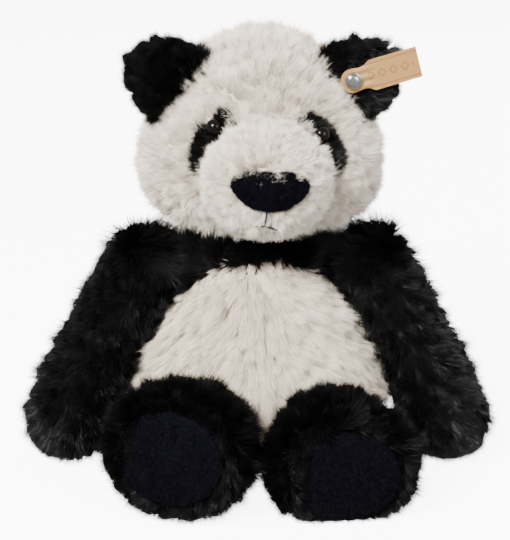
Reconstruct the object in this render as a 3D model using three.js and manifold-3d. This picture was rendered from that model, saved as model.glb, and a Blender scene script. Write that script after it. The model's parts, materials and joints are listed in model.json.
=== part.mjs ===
// Seated plush panda: sewn plush panels over stuffing, in millimetres.
// +Z is up, the panda faces -Y, and its own left side is +X.
// The origin is the middle of the flat seat that it sits on.
import * as THREE from 'three';
import { mergeVertices } from 'three/addons/utils/BufferGeometryUtils.js';
import Module from 'manifold-3d';

const wasm = await Module();
wasm.setup();
const { Manifold, Mesh: SolidMesh } = wasm;

// ---- driving dimensions, mm and degrees ----
const CLOTH = 2.0; // backing and pressed pile of one plush panel
const SEAM_GAP = 0.3; // between pieces that touch
const BEND_GAP = 1.2; // between pieces that move against each other
const FILL_GAP = 2.2; // between a panel and the stuffing behind it
const SEAT_GAP = 1.2; // between a curved skin and a piece sewn on top of it

const BELLY_HALF_WIDTH = 77;
const SEAT_TUCK = 31; // how far the edge of the flat seat is in from the belly's side
const BELLY_LEVEL = 46; // height of the widest part of the belly
const CHEST_HALF_WIDTH = 44;
const CHEST_LEVEL = 116;
const NECK_LEVEL = 143; // top of the body, under the head
const NECK_ROOM = 2; // between the top of the body and the underside of the head
const BODY_DEPTH_RATIO = 0.8; // front to back, over side to side
const YOKE_LEVEL = 122; // lower edge of the black yoke
const PELLET_LEVEL = 24; // top of the pellet bag in the seat

const HEAD_HALF_WIDTH = 70; // at the cheeks
const HEAD_HALF_DEPTH = 59;
const HEAD_ABOVE = 74; // cheek level to crown
const HEAD_BELOW = 46; // cheek level to the neck seam
const CROWN_NARROWING = 0.25; // share of its width that the head loses towards the crown
const BROW_SLOPE = 0.15; // the same, front to back
const JOWL_FULLNESS = 0.5; // how much wider than round the cheeks stay towards the neck
const HEAD_CENTRE = new THREE.Vector3(2, 4, NECK_LEVEL + NECK_ROOM + HEAD_BELOW); // at cheek level
const HEAD_ROLL = 2.5; // the panda's left cheek hangs lower
const HEAD_YAW = 4; // it looks a little to its left
const GUSSET_SHARE = 0.09; // half of the forehead gusset, as a share of the ear-to-ear arc
const NECK_WAD_RADIUS = 12;

const MUZZLE_SINK = 9; // its centre, behind the front of the face
const MUZZLE_DROP = 5; // its centre, below cheek level
const MUZZLE_HALF_WIDTH = 37;
const MUZZLE_HALF_DEPTH = 37;
const MUZZLE_HALF_HEIGHT = 34;
const NOSE_WIDTH = 46;
const NOSE_HEIGHT = 22;
const NOSE_THICKNESS = 4;
const MOUTH_WIDTH = 22;
const MOUTH_DROP = 12;
const THREAD = 1.6;

const EYE_SIDE = 29; // from the head's middle
const RIGHT_EYE_RISE = 22;
const LEFT_EYE_RISE = 19.5;
const EYE_RADIUS = 4.6;
const EYE_SHANK_RADIUS = 1.8;
const EYE_SHANK_LENGTH = 8;
const EYE_RIM = 0.8; // height of the straight edge under the dome
const WASHER_RADIUS = 6;
const WASHER_THICKNESS = 1.6;
const WASHER_ROOM = 2.5; // hollow in the stuffing behind the washer
const PATCH_SIDE = 31;
const PATCH_RISE = 15;
const PATCH_HALF_LENGTH = 20;
const PATCH_HALF_WIDTH = 9.5;
const PATCH_SLANT = 33; // from upright, tops leaning together

const RIGHT_EAR_RISE = 42; // foot of the ear, above cheek level
const LEFT_EAR_RISE = 46;
const EAR_FORWARD = 20; // before the head's middle
const EAR_STAND_OFF = 7.4; // outside the head's side there
const EAR_LEAN = 55; // from upright, outwards
const EAR_HALF_WIDTH = 25;
const EAR_HEIGHT = 33;
const EAR_HALF_THICKNESS = 5.5;
const EAR_GAP = 4; // room at the ear's root for it to fold

const RIVET_UP_EAR = 4; // the rivet's place, up and across the ear from its base
const RIVET_ACROSS_EAR = -3;
const RIVET_RADIUS = 5.2;
const RIVET_HEIGHT = 2.6;
const RIVET_SHANK_RADIUS = 1.5;
const RIVET_RIM = 0.6; // height of the cap's straight edge
const RIVET_BACK_RADIUS = 4.2;
const RIVET_BACK_THICKNESS = 1.2;
const RIBBON_WIDTH = 19;
const RIBBON_LENGTH = 42; // from the rivet to the free end
const RIBBON_THICKNESS = 1.0;
const RIBBON_RISE = 20; // its angle above level
const RIBBON_TAPER = 3; // from the rounded tab to the full width

const SHOULDER_RADIUS = 24;
const SHOULDER = new THREE.Vector3(CHEST_HALF_WIDTH + SHOULDER_RADIUS, 2, CHEST_LEVEL + 2);
const ARM_LENGTH = 110; // shoulder to the middle of the hand
const ARM_ROOM = 25.75; // between the belly's side and an arm that went straight on from the shoulder
const ARM_END_SPREAD = 20; // from upright at the hand
const ARM_FORWARD = 17;
const UPPER_ARM_RADIUS = 21.5;
const ARM_START_SPREAD = THREE.MathUtils.radToDeg(Math.atan2(
  BELLY_HALF_WIDTH + ARM_ROOM + UPPER_ARM_RADIUS - SHOULDER.x,
  SHOULDER.z - BELLY_LEVEL,
)); // from upright at the shoulder, about 38
const HAND_RADIUS = 24.5;

const HIP_RADIUS = 23;
const HIP_LEVEL = 29;
const HIP_SINK = 11.6; // hip, behind the front of the belly
const FOOT_RADIUS = 37.5;
const FOOT_WIDE = 1.09; // foot's width over its round size
const FOOT_TALL = 0.94;
const FEET_TOE_OUT = 6.875; // how far each foot has turned out past its hip where the feet pass
const HIP = new THREE.Vector3(
  FOOT_RADIUS * FOOT_WIDE - FEET_TOE_OUT,
  HIP_SINK - BELLY_HALF_WIDTH * BODY_DEPTH_RATIO,
  HIP_LEVEL,
);
const SOLE_RADIUS = 31;
const LEG_LENGTH = 83; // hip to sole
const SOLE_SEAM = 1.0; // half of the groove round the sole
const RIGHT_LEG_SPLAY = 5;
const RIGHT_LEG_RISE = 7; // foot higher than hip
const RIGHT_SOLE_TURN = 20; // the way that the sole looks, outwards
const LEFT_LEG_SPLAY = 20;
const LEFT_LEG_RISE = -1;
const LEFT_SOLE_TURN = 4;
const HIP_NOTCH_DEPTH = 27; // how far the body stands back from a leg that hangs down

const JOINT_WAD_RADIUS = 10;
const TAIL_RADIUS = 13;
const TAIL_LEVEL = 34;
const TAIL_SHOWING = 0.55; // how far its middle stands out of the back, in tail radii

// ---- helpers for soft forms ----
const X = new THREE.Vector3(1, 0, 0);
const Y = new THREE.Vector3(0, 1, 0);
const Z = new THREE.Vector3(0, 0, 1);
const radians = THREE.MathUtils.degToRad;

// A soft form wraps a skin round a line: profile gives, from end to end, the place
// along the line and the radius there; u turns round the line, v runs along it.
function softForm({ line, profile, wide = () => 1, tall = () => 1, mould = (p) => p, floor = -Infinity }) {
  const skin = (u, v) => {
    const { x: along, y: radius } = profile.getPoint(THREE.MathUtils.clamp(v, 0, 1));
    const { centre, side, rise } = line(along);
    const turn = 2 * Math.PI * u;
    return mould(centre.clone()
      .addScaledVector(side, wide(along) * radius * Math.cos(turn))
      .addScaledVector(rise, tall(along) * radius * Math.sin(turn)));
  };
  return (u, v, inset = 0) => {
    const step = 0.004;
    const safe = THREE.MathUtils.clamp(v, 2 * step, 1 - 2 * step);
    const round = skin(u + step, safe).sub(skin(u - step, safe));
    const up = skin(u, safe + step).sub(skin(u, safe - step));
    let out = round.cross(up).normalize();
    if (v === 0 || v === 1) {
      const end = profile.getPoint(v).x;
      out = line(end).along.clone().multiplyScalar(v === 0 ? -1 : 1);
    }
    const point = skin(u, v).addScaledVector(out, -inset);
    point.z = Math.max(point.z, floor + Math.max(inset, 0));
    return point;
  };
}

// The share of the profile's length at which it first reaches a place along the line.
function shareAt(profile, along) {
  let low = 0;
  let high = 1;
  for (let i = 0; i < 40; i += 1) {
    const middle = (low + high) / 2;
    if (profile.getPoint(middle).x < along) low = middle;
    else high = middle;
  }
  return high;
}

function geometryOf(points, triangles) {
  const geometry = new THREE.BufferGeometry();
  geometry.setAttribute('position', new THREE.Float32BufferAttribute(points.flatMap((p) => p.toArray()), 3));
  geometry.setIndex(triangles.flat());
  const merged = mergeVertices(geometry, 1e-3);
  const index = [...merged.index.array];
  const kept = [];
  for (let i = 0; i < index.length; i += 3) {
    const [a, b, c] = index.slice(i, i + 3);
    if (a !== b && b !== c && c !== a) kept.push(a, b, c);
  }
  merged.setIndex(kept);
  return merged;
}

// One sewn panel: the part of a form between two turns and two shares, one cloth thick.
function panel(form, [u0, u1], [v0, v1], columns, rows, outer = 0, inner = CLOTH) {
  const points = [];
  for (const inset of [outer, inner]) {
    for (let j = 0; j <= rows; j += 1) {
      for (let i = 0; i <= columns; i += 1) {
        points.push(form(u0 + (u1 - u0) * i / columns, v0 + (v1 - v0) * j / rows, inset));
      }
    }
  }
  const layer = (columns + 1) * (rows + 1);
  const at = (i, j) => j * (columns + 1) + i;
  const triangles = [];
  for (let j = 0; j < rows; j += 1) {
    for (let i = 0; i < columns; i += 1) {
      const [a, b, c, d] = [at(i, j), at(i + 1, j), at(i + 1, j + 1), at(i, j + 1)];
      triangles.push([a, b, c], [a, c, d]);
      triangles.push([a + layer, c + layer, b + layer], [a + layer, d + layer, c + layer]);
    }
  }
  const wall = (a, b) => triangles.push([a, a + layer, b + layer], [a, b + layer, b]);
  for (let i = 0; i < columns; i += 1) {
    wall(at(i, 0), at(i + 1, 0));
    wall(at(i + 1, rows), at(i, rows));
  }
  if (u1 - u0 < 1) {
    for (let j = 0; j < rows; j += 1) {
      wall(at(columns, j), at(columns, j + 1));
      wall(at(0, j + 1), at(0, j));
    }
  }
  return geometryOf(points, triangles);
}

// A whole closed form, filled.
function filled(form, columns, rows, inset) {
  const points = [];
  const triangles = [];
  for (let j = 0; j <= rows; j += 1) {
    for (let i = 0; i < columns; i += 1) points.push(form(i / columns, j / rows, inset));
  }
  for (let j = 0; j < rows; j += 1) {
    for (let i = 0; i < columns; i += 1) {
      const next = (i + 1) % columns;
      const [a, b] = [j * columns + i, j * columns + next];
      triangles.push([a, b, b + columns], [a, b + columns, a + columns]);
    }
  }
  return geometryOf(points, triangles);
}

function solid(geometry) {
  const bare = geometry.index ? geometry.clone() : geometry;
  bare.deleteAttribute('normal');
  bare.deleteAttribute('uv');
  const merged = mergeVertices(bare, 1e-4);
  const index = merged.index.array;
  const kept = [];
  for (let i = 0; i < index.length; i += 3) {
    const [a, b, c] = index.slice(i, i + 3);
    if (a !== b && b !== c && c !== a) kept.push(a, b, c);
  }
  return new Manifold(new SolidMesh({
    numProp: 3,
    vertProperties: new Float32Array(merged.attributes.position.array),
    triVerts: new Uint32Array(kept),
  }));
}

function geometry(body) {
  const mesh = body.getMesh();
  const result = new THREE.BufferGeometry();
  result.setAttribute('position', new THREE.BufferAttribute(new Float32Array(mesh.vertProperties), 3));
  result.setIndex([...mesh.triVerts]);
  return result;
}

function cut(shape, ...tools) {
  return geometry(tools.reduce((body, tool) => body.subtract(solid(tool)), solid(shape)));
}

function common(shape, tool) {
  return geometry(solid(shape).intersect(solid(tool)));
}

function ball(centre, radius) {
  return new THREE.SphereGeometry(radius, 14, 10).translate(centre.x, centre.y, centre.z);
}

function block(low, high) {
  const size = high.clone().sub(low);
  const middle = low.clone().add(high).multiplyScalar(0.5);
  return new THREE.BoxGeometry(size.x, size.y, size.z).translate(middle.x, middle.y, middle.z);
}

// A round bar between two points.
function bar(from, to, radius) {
  const along = to.clone().sub(from);
  const middle = from.clone().add(to).multiplyScalar(0.5);
  return new THREE.CylinderGeometry(radius, radius, along.length(), 16)
    .applyQuaternion(new THREE.Quaternion().setFromUnitVectors(Y, along.normalize()))
    .translate(middle.x, middle.y, middle.z);
}

// ---- materials ----
function paint(color, roughness, metalness = 0) {
  return new THREE.MeshStandardMaterial({ color, roughness, metalness });
}
const creamPlush = () => paint(0xd9d2c5, 0.95);
const blackPlush = () => paint(0x0d0d0f, 0.95);
const velour = () => paint(0x10101c, 0.9);
const fibre = () => paint(0xf2f0ea, 1);
const pellets = () => paint(0xd8d8d8, 0.7);
const glossBlack = () => paint(0x050505, 0.1);
const nylon = () => paint(0xe8e8e0, 0.5);
const nickel = () => paint(0xb5b0a8, 0.3, 1);
const woven = () => paint(0xc3a877, 0.8);
const blackThread = () => paint(0x0a0a0a, 0.8);

const panda = new THREE.Group();

function add(parent, name, shape, material) {
  const mesh = new THREE.Mesh(shape, material);
  mesh.name = name;
  parent.add(mesh);
}

// ---- body ----
const bodyProfile = new THREE.Path();
bodyProfile.moveTo(0, 0);
bodyProfile.lineTo(0, BELLY_HALF_WIDTH - SEAT_TUCK);
bodyProfile.splineThru([
  new THREE.Vector2(BELLY_LEVEL * 0.14, BELLY_HALF_WIDTH * 0.84),
  new THREE.Vector2(BELLY_LEVEL * 0.45, BELLY_HALF_WIDTH * 0.95),
  new THREE.Vector2(BELLY_LEVEL, BELLY_HALF_WIDTH),
  new THREE.Vector2(THREE.MathUtils.lerp(BELLY_LEVEL, CHEST_LEVEL, 0.5),
    THREE.MathUtils.lerp(BELLY_HALF_WIDTH, CHEST_HALF_WIDTH, 0.48)),
  new THREE.Vector2(CHEST_LEVEL, CHEST_HALF_WIDTH),
  new THREE.Vector2(THREE.MathUtils.lerp(CHEST_LEVEL, NECK_LEVEL, 0.8), CHEST_HALF_WIDTH * 0.66),
  new THREE.Vector2(NECK_LEVEL, 0),
]);
const bodyForm = softForm({
  line: (along) => ({ centre: new THREE.Vector3(0, 0, along), along: Z, side: X, rise: Y }),
  profile: bodyProfile,
  tall: () => BODY_DEPTH_RATIO,
});
const neckPoint = new THREE.Vector3(0, HEAD_CENTRE.y, NECK_LEVEL + NECK_WAD_RADIUS / 4);
const hipPoints = { left: HIP, right: HIP.clone().setX(-HIP.x) };
const shoulderPoints = { left: SHOULDER, right: SHOULDER.clone().setX(-SHOULDER.x) };

// The body stands back from each thigh, so that the leg lies forward or hangs down.
function hipNotch(hip) {
  const reach = HIP_RADIUS + BEND_GAP;
  const drum = bar(hip.clone().setX(hip.x - reach), hip.clone().setX(hip.x + reach), reach);
  const room = block(
    new THREE.Vector3(hip.x - reach, -3 * BELLY_HALF_WIDTH, -NECK_LEVEL),
    new THREE.Vector3(hip.x + reach, hip.y + HIP_NOTCH_DEPTH, hip.z),
  );
  return [drum, room];
}
const notches = [...hipNotch(hipPoints.left), ...hipNotch(hipPoints.right)];
// The way that an arm hangs: spread to its own side, and forward.
function armWay(side, spread) {
  return new THREE.Vector3(
    side * Math.sin(radians(spread)) * Math.cos(radians(ARM_FORWARD)),
    -Math.sin(radians(ARM_FORWARD)),
    -Math.cos(radians(spread)) * Math.cos(radians(ARM_FORWARD)),
  );
}
// An arm's form, with the line it follows and its profile.
function armShape(word) {
  const side = word === 'left' ? 1 : -1;
  const profile = new THREE.Path();
  profile.absarc(0, 0, SHOULDER_RADIUS, Math.PI, Math.PI / 2, true);
  profile.splineThru([
    new THREE.Vector2(ARM_LENGTH * 0.3, UPPER_ARM_RADIUS * 1.03),
    new THREE.Vector2(ARM_LENGTH * 0.6, UPPER_ARM_RADIUS),
    new THREE.Vector2(ARM_LENGTH, HAND_RADIUS),
  ]);
  profile.absarc(ARM_LENGTH, 0, HAND_RADIUS, Math.PI / 2, 0, true);
  const startWay = armWay(side, ARM_START_SPREAD);
  const line = bentLine(shoulderPoints[word], startWay, armWay(side, ARM_END_SPREAD), ARM_LENGTH);
  return { line, profile, form: softForm({ line, profile }) };
}
const armShapes = { right: armShape('right'), left: armShape('left') };
const armholes = Object.entries(armShapes).flatMap(([word, { form }]) => [
  ball(shoulderPoints[word], SHOULDER_RADIUS + BEND_GAP),
  filled(form, 12, 10, -BEND_GAP),
]);
const neckHole = ball(neckPoint, NECK_WAD_RADIUS + BEND_GAP);

const seam = SEAM_GAP / (2 * Math.PI * BELLY_HALF_WIDTH * BODY_DEPTH_RATIO);
const seatShare = shareAt(bodyProfile, 0.001);
const seamShare = SEAM_GAP / bodyProfile.getLength();
const yokeShare = shareAt(bodyProfile, YOKE_LEVEL);
const lowerShares = [seatShare + 3 * seamShare, yokeShare - seamShare];
const bodyPanels = {
  back_panel_left: [seam, 0.25 - seam],
  back_panel_right: [0.25 + seam, 0.5 - seam],
  belly_panel_right: [0.5 + seam, 0.75 - seam],
  belly_panel_left: [0.75 + seam, 1 - seam],
};
for (const [name, turns] of Object.entries(bodyPanels)) {
  add(panda, name, cut(panel(bodyForm, turns, lowerShares, 5, 7), ...notches, ...armholes), creamPlush());
}
const yokeShares = [yokeShare, 1];
const yokeTurns = { yoke_back: [seam, 0.5 - seam], yoke_front: [0.5 + seam, 1 - seam] };
for (const [name, turns] of Object.entries(yokeTurns)) {
  add(panda, name, cut(panel(bodyForm, turns, yokeShares, 10, 4), ...armholes, neckHole), blackPlush());
}
add(panda, 'seat_panel', cut(panel(bodyForm, [0, 1], [0, seatShare], 20, 2), ...notches), creamPlush());

const bodyFill = filled(bodyForm, 20, 12, CLOTH + FILL_GAP);
const wideLow = new THREE.Vector3(-2 * BELLY_HALF_WIDTH, -2 * BELLY_HALF_WIDTH, -NECK_LEVEL);
const wideHigh = new THREE.Vector3(2 * BELLY_HALF_WIDTH, 2 * BELLY_HALF_WIDTH, 2 * NECK_LEVEL);
const belowPellets = block(wideLow, wideHigh.clone().setZ(PELLET_LEVEL + SEAM_GAP));
const abovePellets = block(wideLow.clone().setZ(PELLET_LEVEL), wideHigh);
add(panda, 'body_stuffing', cut(bodyFill, belowPellets, ...notches, ...armholes, neckHole), fibre());
add(panda, 'pellet_bag', cut(bodyFill, abovePellets, ...notches), pellets());

// ---- tail ----
const tailRoot = bodyForm(0.25, shareAt(bodyProfile, TAIL_LEVEL));
const tailProfile = new THREE.Path();
tailProfile.absarc(0, 0, TAIL_RADIUS, Math.PI, 0, true);
const tailForm = softForm({
  line: (along) => ({
    centre: tailRoot.clone().addScaledVector(Y, along + TAIL_RADIUS * TAIL_SHOWING),
    along: Y,
    side: Z,
    rise: X,
  }),
  profile: tailProfile,
});
const bodySkin = filled(bodyForm, 20, 12, -SEAT_GAP);
const tailAt = (inset) => filled(tailForm, 10, 7, inset);
add(panda, 'tail_cover', cut(tailAt(0), tailAt(CLOTH), bodySkin), creamPlush());
add(panda, 'tail_stuffing', cut(tailAt(CLOTH + SEAM_GAP), bodySkin), fibre());

// ---- neck ----
add(panda, 'neck_stuffing', ball(neckPoint, NECK_WAD_RADIUS), fibre());

// ---- head: its own group, rolled and turned a little ----
const head = new THREE.Group();
head.position.copy(HEAD_CENTRE);
head.rotation.set(0, radians(HEAD_ROLL), radians(HEAD_YAW), 'ZYX');
head.updateMatrixWorld();
panda.add(head);

function roundProfile(radius) {
  const profile = new THREE.Path();
  profile.absarc(0, 0, radius, Math.PI, 0, true);
  return profile;
}
// The head is an egg: full at the cheeks, narrower and sloping back towards the crown.
const crownShare = (z) => Math.max(z, 0) / HEAD_ABOVE;
const narrowing = (z, amount) => 1 - amount * crownShare(z) ** 1.3;
const jowl = (z) => JOWL_FULLNESS * (Math.min(z, 0) / HEAD_BELOW) ** 2;
const headWidening = (z) => narrowing(z, CROWN_NARROWING) + jowl(z);
const headHeight = (z) => (z > 0 ? HEAD_ABOVE : HEAD_BELOW);
const headForm = softForm({
  line: (along) => ({ centre: new THREE.Vector3(along, 0, 0), along: X, side: Y, rise: Z }),
  profile: roundProfile(HEAD_HALF_WIDTH),
  wide: () => HEAD_HALF_DEPTH / HEAD_HALF_WIDTH,
  mould: (p) => {
    const z = p.z * headHeight(p.z) / HEAD_HALF_WIDTH;
    return new THREE.Vector3(p.x * headWidening(z), p.y * narrowing(z, BROW_SLOPE), z);
  },
});
// The point of the face at a place across and up, and the way the face looks there.
function facePoint(x, z) {
  const across = x / headWidening(z) / HEAD_HALF_WIDTH;
  const left = 1 - across ** 2 - (z / headHeight(z)) ** 2;
  return new THREE.Vector3(x, -HEAD_HALF_DEPTH * narrowing(z, BROW_SLOPE) * Math.sqrt(left), z);
}
function faceOut(x, z) {
  const step = 0.5;
  const overX = facePoint(x + step, z).sub(facePoint(x - step, z));
  const overZ = facePoint(x, z + step).sub(facePoint(x, z - step));
  return overX.cross(overZ).normalize();
}
const neckInHead = ball(head.worldToLocal(neckPoint.clone()), NECK_WAD_RADIUS + BEND_GAP);
const headSkin = filled(headForm, 20, 14, -SEAT_GAP);

const eyeRise = (side) => (side < 0 ? RIGHT_EYE_RISE : LEFT_EYE_RISE);
const eyePoint = (side) => facePoint(side * EYE_SIDE, eyeRise(side));
const eyeOut = (side) => faceOut(side * EYE_SIDE, eyeRise(side));
const alongEye = (side, distance) => eyePoint(side).addScaledVector(eyeOut(side), distance);
const eyeHole = (side) => bar(
  alongEye(side, -2 * EYE_SHANK_LENGTH),
  alongEye(side, EYE_SHANK_LENGTH),
  EYE_SHANK_RADIUS + SEAM_GAP,
);
const washerDepth = CLOTH + FILL_GAP + WASHER_THICKNESS;
const washerPocket = (side) => bar(
  alongEye(side, -washerDepth - WASHER_ROOM),
  alongEye(side, EYE_SHANK_LENGTH),
  WASHER_RADIUS + 2 * SEAM_GAP,
);

const headSeam = SEAM_GAP / (2 * Math.PI * HEAD_HALF_DEPTH);
const frontTurns = [0.25 + headSeam, 0.78 - headSeam]; // crown to under the chin
const backTurns = [-0.22 + headSeam, 0.25 - headSeam];
const gussetEdge = 0.5 - GUSSET_SHARE;
const cheekEdge = gussetEdge - headSeam;
const headPanels = {
  cheek_right: panel(headForm, frontTurns, [0, cheekEdge], 8, 4),
  cheek_left: panel(headForm, frontTurns, [1 - cheekEdge, 1], 8, 4),
  forehead_gusset: panel(headForm, frontTurns, [gussetEdge, 1 - gussetEdge], 8, 3),
  head_back_right: panel(headForm, backTurns, [0, 0.5 - headSeam], 8, 5),
  head_back_left: panel(headForm, backTurns, [0.5 + headSeam, 1], 8, 5),
};
const eyeHoles = [eyeHole(-1), eyeHole(1)];
for (const [name, cloth] of Object.entries(headPanels)) {
  add(head, name, cut(cloth, ...eyeHoles, neckInHead), creamPlush());
}
const headFill = filled(headForm, 16, 12, CLOTH + FILL_GAP);
const pockets = [washerPocket(-1), washerPocket(1)];
add(head, 'head_stuffing', cut(headFill, ...eyeHoles, ...pockets, neckInHead), fibre());

// ---- muzzle, nose and mouth ----
const muzzleCentre = new THREE.Vector3(0, MUZZLE_SINK - HEAD_HALF_DEPTH, -MUZZLE_DROP);
const muzzleForm = softForm({
  line: (along) => ({ centre: muzzleCentre.clone().addScaledVector(X, along), along: X, side: Y, rise: Z }),
  profile: roundProfile(MUZZLE_HALF_WIDTH),
  wide: () => MUZZLE_HALF_DEPTH / MUZZLE_HALF_WIDTH,
  tall: () => MUZZLE_HALF_HEIGHT / MUZZLE_HALF_WIDTH,
});
const muzzleAt = (inset) => filled(muzzleForm, 18, 12, inset);
add(head, 'muzzle_cover', cut(muzzleAt(0), muzzleAt(CLOTH), headSkin), creamPlush());
add(head, 'muzzle_stuffing', cut(muzzleAt(CLOTH + SEAM_GAP), headSkin), fibre());

function frontExtrusion(shape, centre) {
  const how = { depth: 2 * MUZZLE_HALF_DEPTH, bevelEnabled: false, curveSegments: 3 };
  return new THREE.ExtrudeGeometry(shape, how)
    .rotateX(Math.PI / 2)
    .translate(centre.x, centre.y, centre.z);
}
const noseShape = new THREE.Shape();
noseShape.moveTo(-NOSE_WIDTH * 0.5, NOSE_HEIGHT * 0.12);
noseShape.quadraticCurveTo(-NOSE_WIDTH * 0.44, NOSE_HEIGHT * 0.5, -NOSE_WIDTH * 0.2, NOSE_HEIGHT * 0.5);
noseShape.lineTo(NOSE_WIDTH * 0.2, NOSE_HEIGHT * 0.5);
noseShape.quadraticCurveTo(NOSE_WIDTH * 0.44, NOSE_HEIGHT * 0.5, NOSE_WIDTH * 0.5, NOSE_HEIGHT * 0.12);
noseShape.quadraticCurveTo(NOSE_WIDTH * 0.36, -NOSE_HEIGHT * 0.5, 0, -NOSE_HEIGHT * 0.5);
noseShape.quadraticCurveTo(-NOSE_WIDTH * 0.36, -NOSE_HEIGHT * 0.5, -NOSE_WIDTH * 0.5, NOSE_HEIGHT * 0.12);
const muzzleSkin = muzzleAt(-SEAM_GAP);
const noseBlank = common(muzzleAt(-SEAM_GAP - NOSE_THICKNESS), frontExtrusion(noseShape, muzzleCentre));
add(head, 'nose_pad', cut(noseBlank, muzzleSkin), velour());

const mouthTop = -NOSE_HEIGHT / 2 - SEAM_GAP;
const mouthLine = mouthTop - MOUTH_DROP;
const mouthShape = new THREE.Shape();
mouthShape.moveTo(-THREAD / 2, mouthTop);
mouthShape.lineTo(-THREAD / 2, mouthLine);
mouthShape.lineTo(-MOUTH_WIDTH / 2, mouthLine - THREAD);
mouthShape.lineTo(-MOUTH_WIDTH / 2, mouthLine - 2 * THREAD);
mouthShape.lineTo(0, mouthLine - THREAD);
mouthShape.lineTo(MOUTH_WIDTH / 2, mouthLine - 2 * THREAD);
mouthShape.lineTo(MOUTH_WIDTH / 2, mouthLine - THREAD);
mouthShape.lineTo(THREAD / 2, mouthLine);
mouthShape.lineTo(THREAD / 2, mouthTop);
const mouthBlank = common(muzzleAt(-SEAM_GAP - THREAD), frontExtrusion(mouthShape, muzzleCentre));
add(head, 'mouth_stitch', cut(mouthBlank, muzzleSkin), blackThread());

// ---- eye patches and eyes ----
for (const [word, side] of [['right', -1], ['left', 1]]) {
  const oval = new THREE.Shape();
  oval.absellipse(0, 0, PATCH_HALF_WIDTH, PATCH_HALF_LENGTH, 0, 2 * Math.PI, false, 0);
  const patchBar = new THREE.ExtrudeGeometry(oval, {
    depth: 2 * HEAD_HALF_DEPTH, bevelEnabled: false, curveSegments: 16,
  })
    .rotateZ(side * radians(PATCH_SLANT))
    .rotateX(Math.PI / 2)
    .translate(side * PATCH_SIDE, 0, PATCH_RISE);
  const patchShell = cut(common(filled(headForm, 20, 14, -SEAT_GAP - CLOTH), patchBar), headSkin, muzzleSkin);
  add(head, `eye_patch_${word}`, cut(patchShell, eyeHole(side)), blackPlush());

  const base = SEAT_GAP + CLOTH + SEAM_GAP;
  const dome = new THREE.Path();
  dome.moveTo(0, -EYE_SHANK_LENGTH);
  dome.lineTo(EYE_SHANK_RADIUS, -EYE_SHANK_LENGTH);
  dome.lineTo(EYE_SHANK_RADIUS, base);
  dome.lineTo(EYE_RADIUS, base);
  dome.lineTo(EYE_RADIUS, base + EYE_RIM);
  dome.absellipse(0, base + EYE_RIM, EYE_RADIUS, EYE_RADIUS * 0.75, 0, Math.PI / 2, false, 0);
  const turn = new THREE.Quaternion().setFromUnitVectors(Y, eyeOut(side));
  const at = eyePoint(side);
  const inPlace = (shape) => shape.applyQuaternion(turn).translate(at.x, at.y, at.z);
  add(head, `eye_${word}`, inPlace(new THREE.LatheGeometry(dome.getPoints(4), 12)), glossBlack());

  const ring = new THREE.Path();
  const back = -CLOTH - FILL_GAP;
  ring.moveTo(EYE_SHANK_RADIUS + SEAM_GAP, back - WASHER_THICKNESS);
  ring.lineTo(WASHER_RADIUS, back - WASHER_THICKNESS);
  ring.lineTo(WASHER_RADIUS, back);
  ring.lineTo(EYE_SHANK_RADIUS + SEAM_GAP, back);
  ring.closePath();
  add(head, `eye_washer_${word}`, inPlace(new THREE.LatheGeometry(ring.getPoints(), 12)), nylon());
}

// ---- ears ----
// An ear is made standing on its base, in a group that leans it out and sets it on the head.
const earProfile = new THREE.Path();
earProfile.absellipse(0, 0, EAR_HALF_THICKNESS, EAR_HALF_WIDTH, Math.PI, 0, true, 0);
const earForm = softForm({
  line: (along) => ({ centre: new THREE.Vector3(0, -along, 0), along: Y.clone().negate(), side: X, rise: Z }),
  profile: earProfile,
  tall: () => EAR_HEIGHT / EAR_HALF_WIDTH,
});
const earWhole = filled(earForm, 20, 6, 0);
const far = 4 * HEAD_HALF_WIDTH;
const behindEar = block(new THREE.Vector3(-far, -SEAM_GAP / 2, -far), new THREE.Vector3(far, far, far));
const beforeEar = block(new THREE.Vector3(-far, -far, -far), new THREE.Vector3(far, SEAM_GAP / 2, far));
const earRoom = filled(headForm, 20, 14, -EAR_GAP);

const rivetAt = (y) => new THREE.Vector3(RIVET_ACROSS_EAR, y, RIVET_UP_EAR);
const rivetHole = bar(rivetAt(-far), rivetAt(far), RIVET_SHANK_RADIUS + SEAM_GAP);

// The head's half width at a place forward of its middle and above cheek level.
function headSide(forward, z) {
  const left = 1 - (forward / HEAD_HALF_DEPTH / narrowing(z, BROW_SLOPE)) ** 2 - (z / headHeight(z)) ** 2;
  return HEAD_HALF_WIDTH * headWidening(z) * Math.sqrt(left);
}

const ears = {};
for (const [word, side] of [['right', -1], ['left', 1]]) {
  const ear = new THREE.Group();
  const earRise = side < 0 ? RIGHT_EAR_RISE : LEFT_EAR_RISE;
  const earSide = headSide(EAR_FORWARD, earRise) + EAR_STAND_OFF;
  ear.position.set(side * earSide, -EAR_FORWARD, earRise);
  ear.rotation.y = side * radians(EAR_LEAN);
  ear.updateMatrix();
  head.add(ear);
  ears[word] = ear;
  const room = earRoom.clone().applyMatrix4(ear.matrix.clone().invert());
  const holes = word === 'left' ? [room, rivetHole] : [room];
  add(ear, `ear_${word}_front`, cut(earWhole, behindEar, ...holes), blackPlush());
  add(ear, `ear_${word}_back`, cut(earWhole, beforeEar, ...holes), blackPlush());
}

// ---- rivet and ribbon in the left ear ----
const ribbonBack = EAR_HALF_THICKNESS + SEAM_GAP;
const ribbonFront = ribbonBack + RIBBON_THICKNESS;
const capBack = ribbonFront + SEAM_GAP;
const shankEnd = EAR_HALF_THICKNESS + 2 * SEAM_GAP + RIVET_BACK_THICKNESS;

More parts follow.
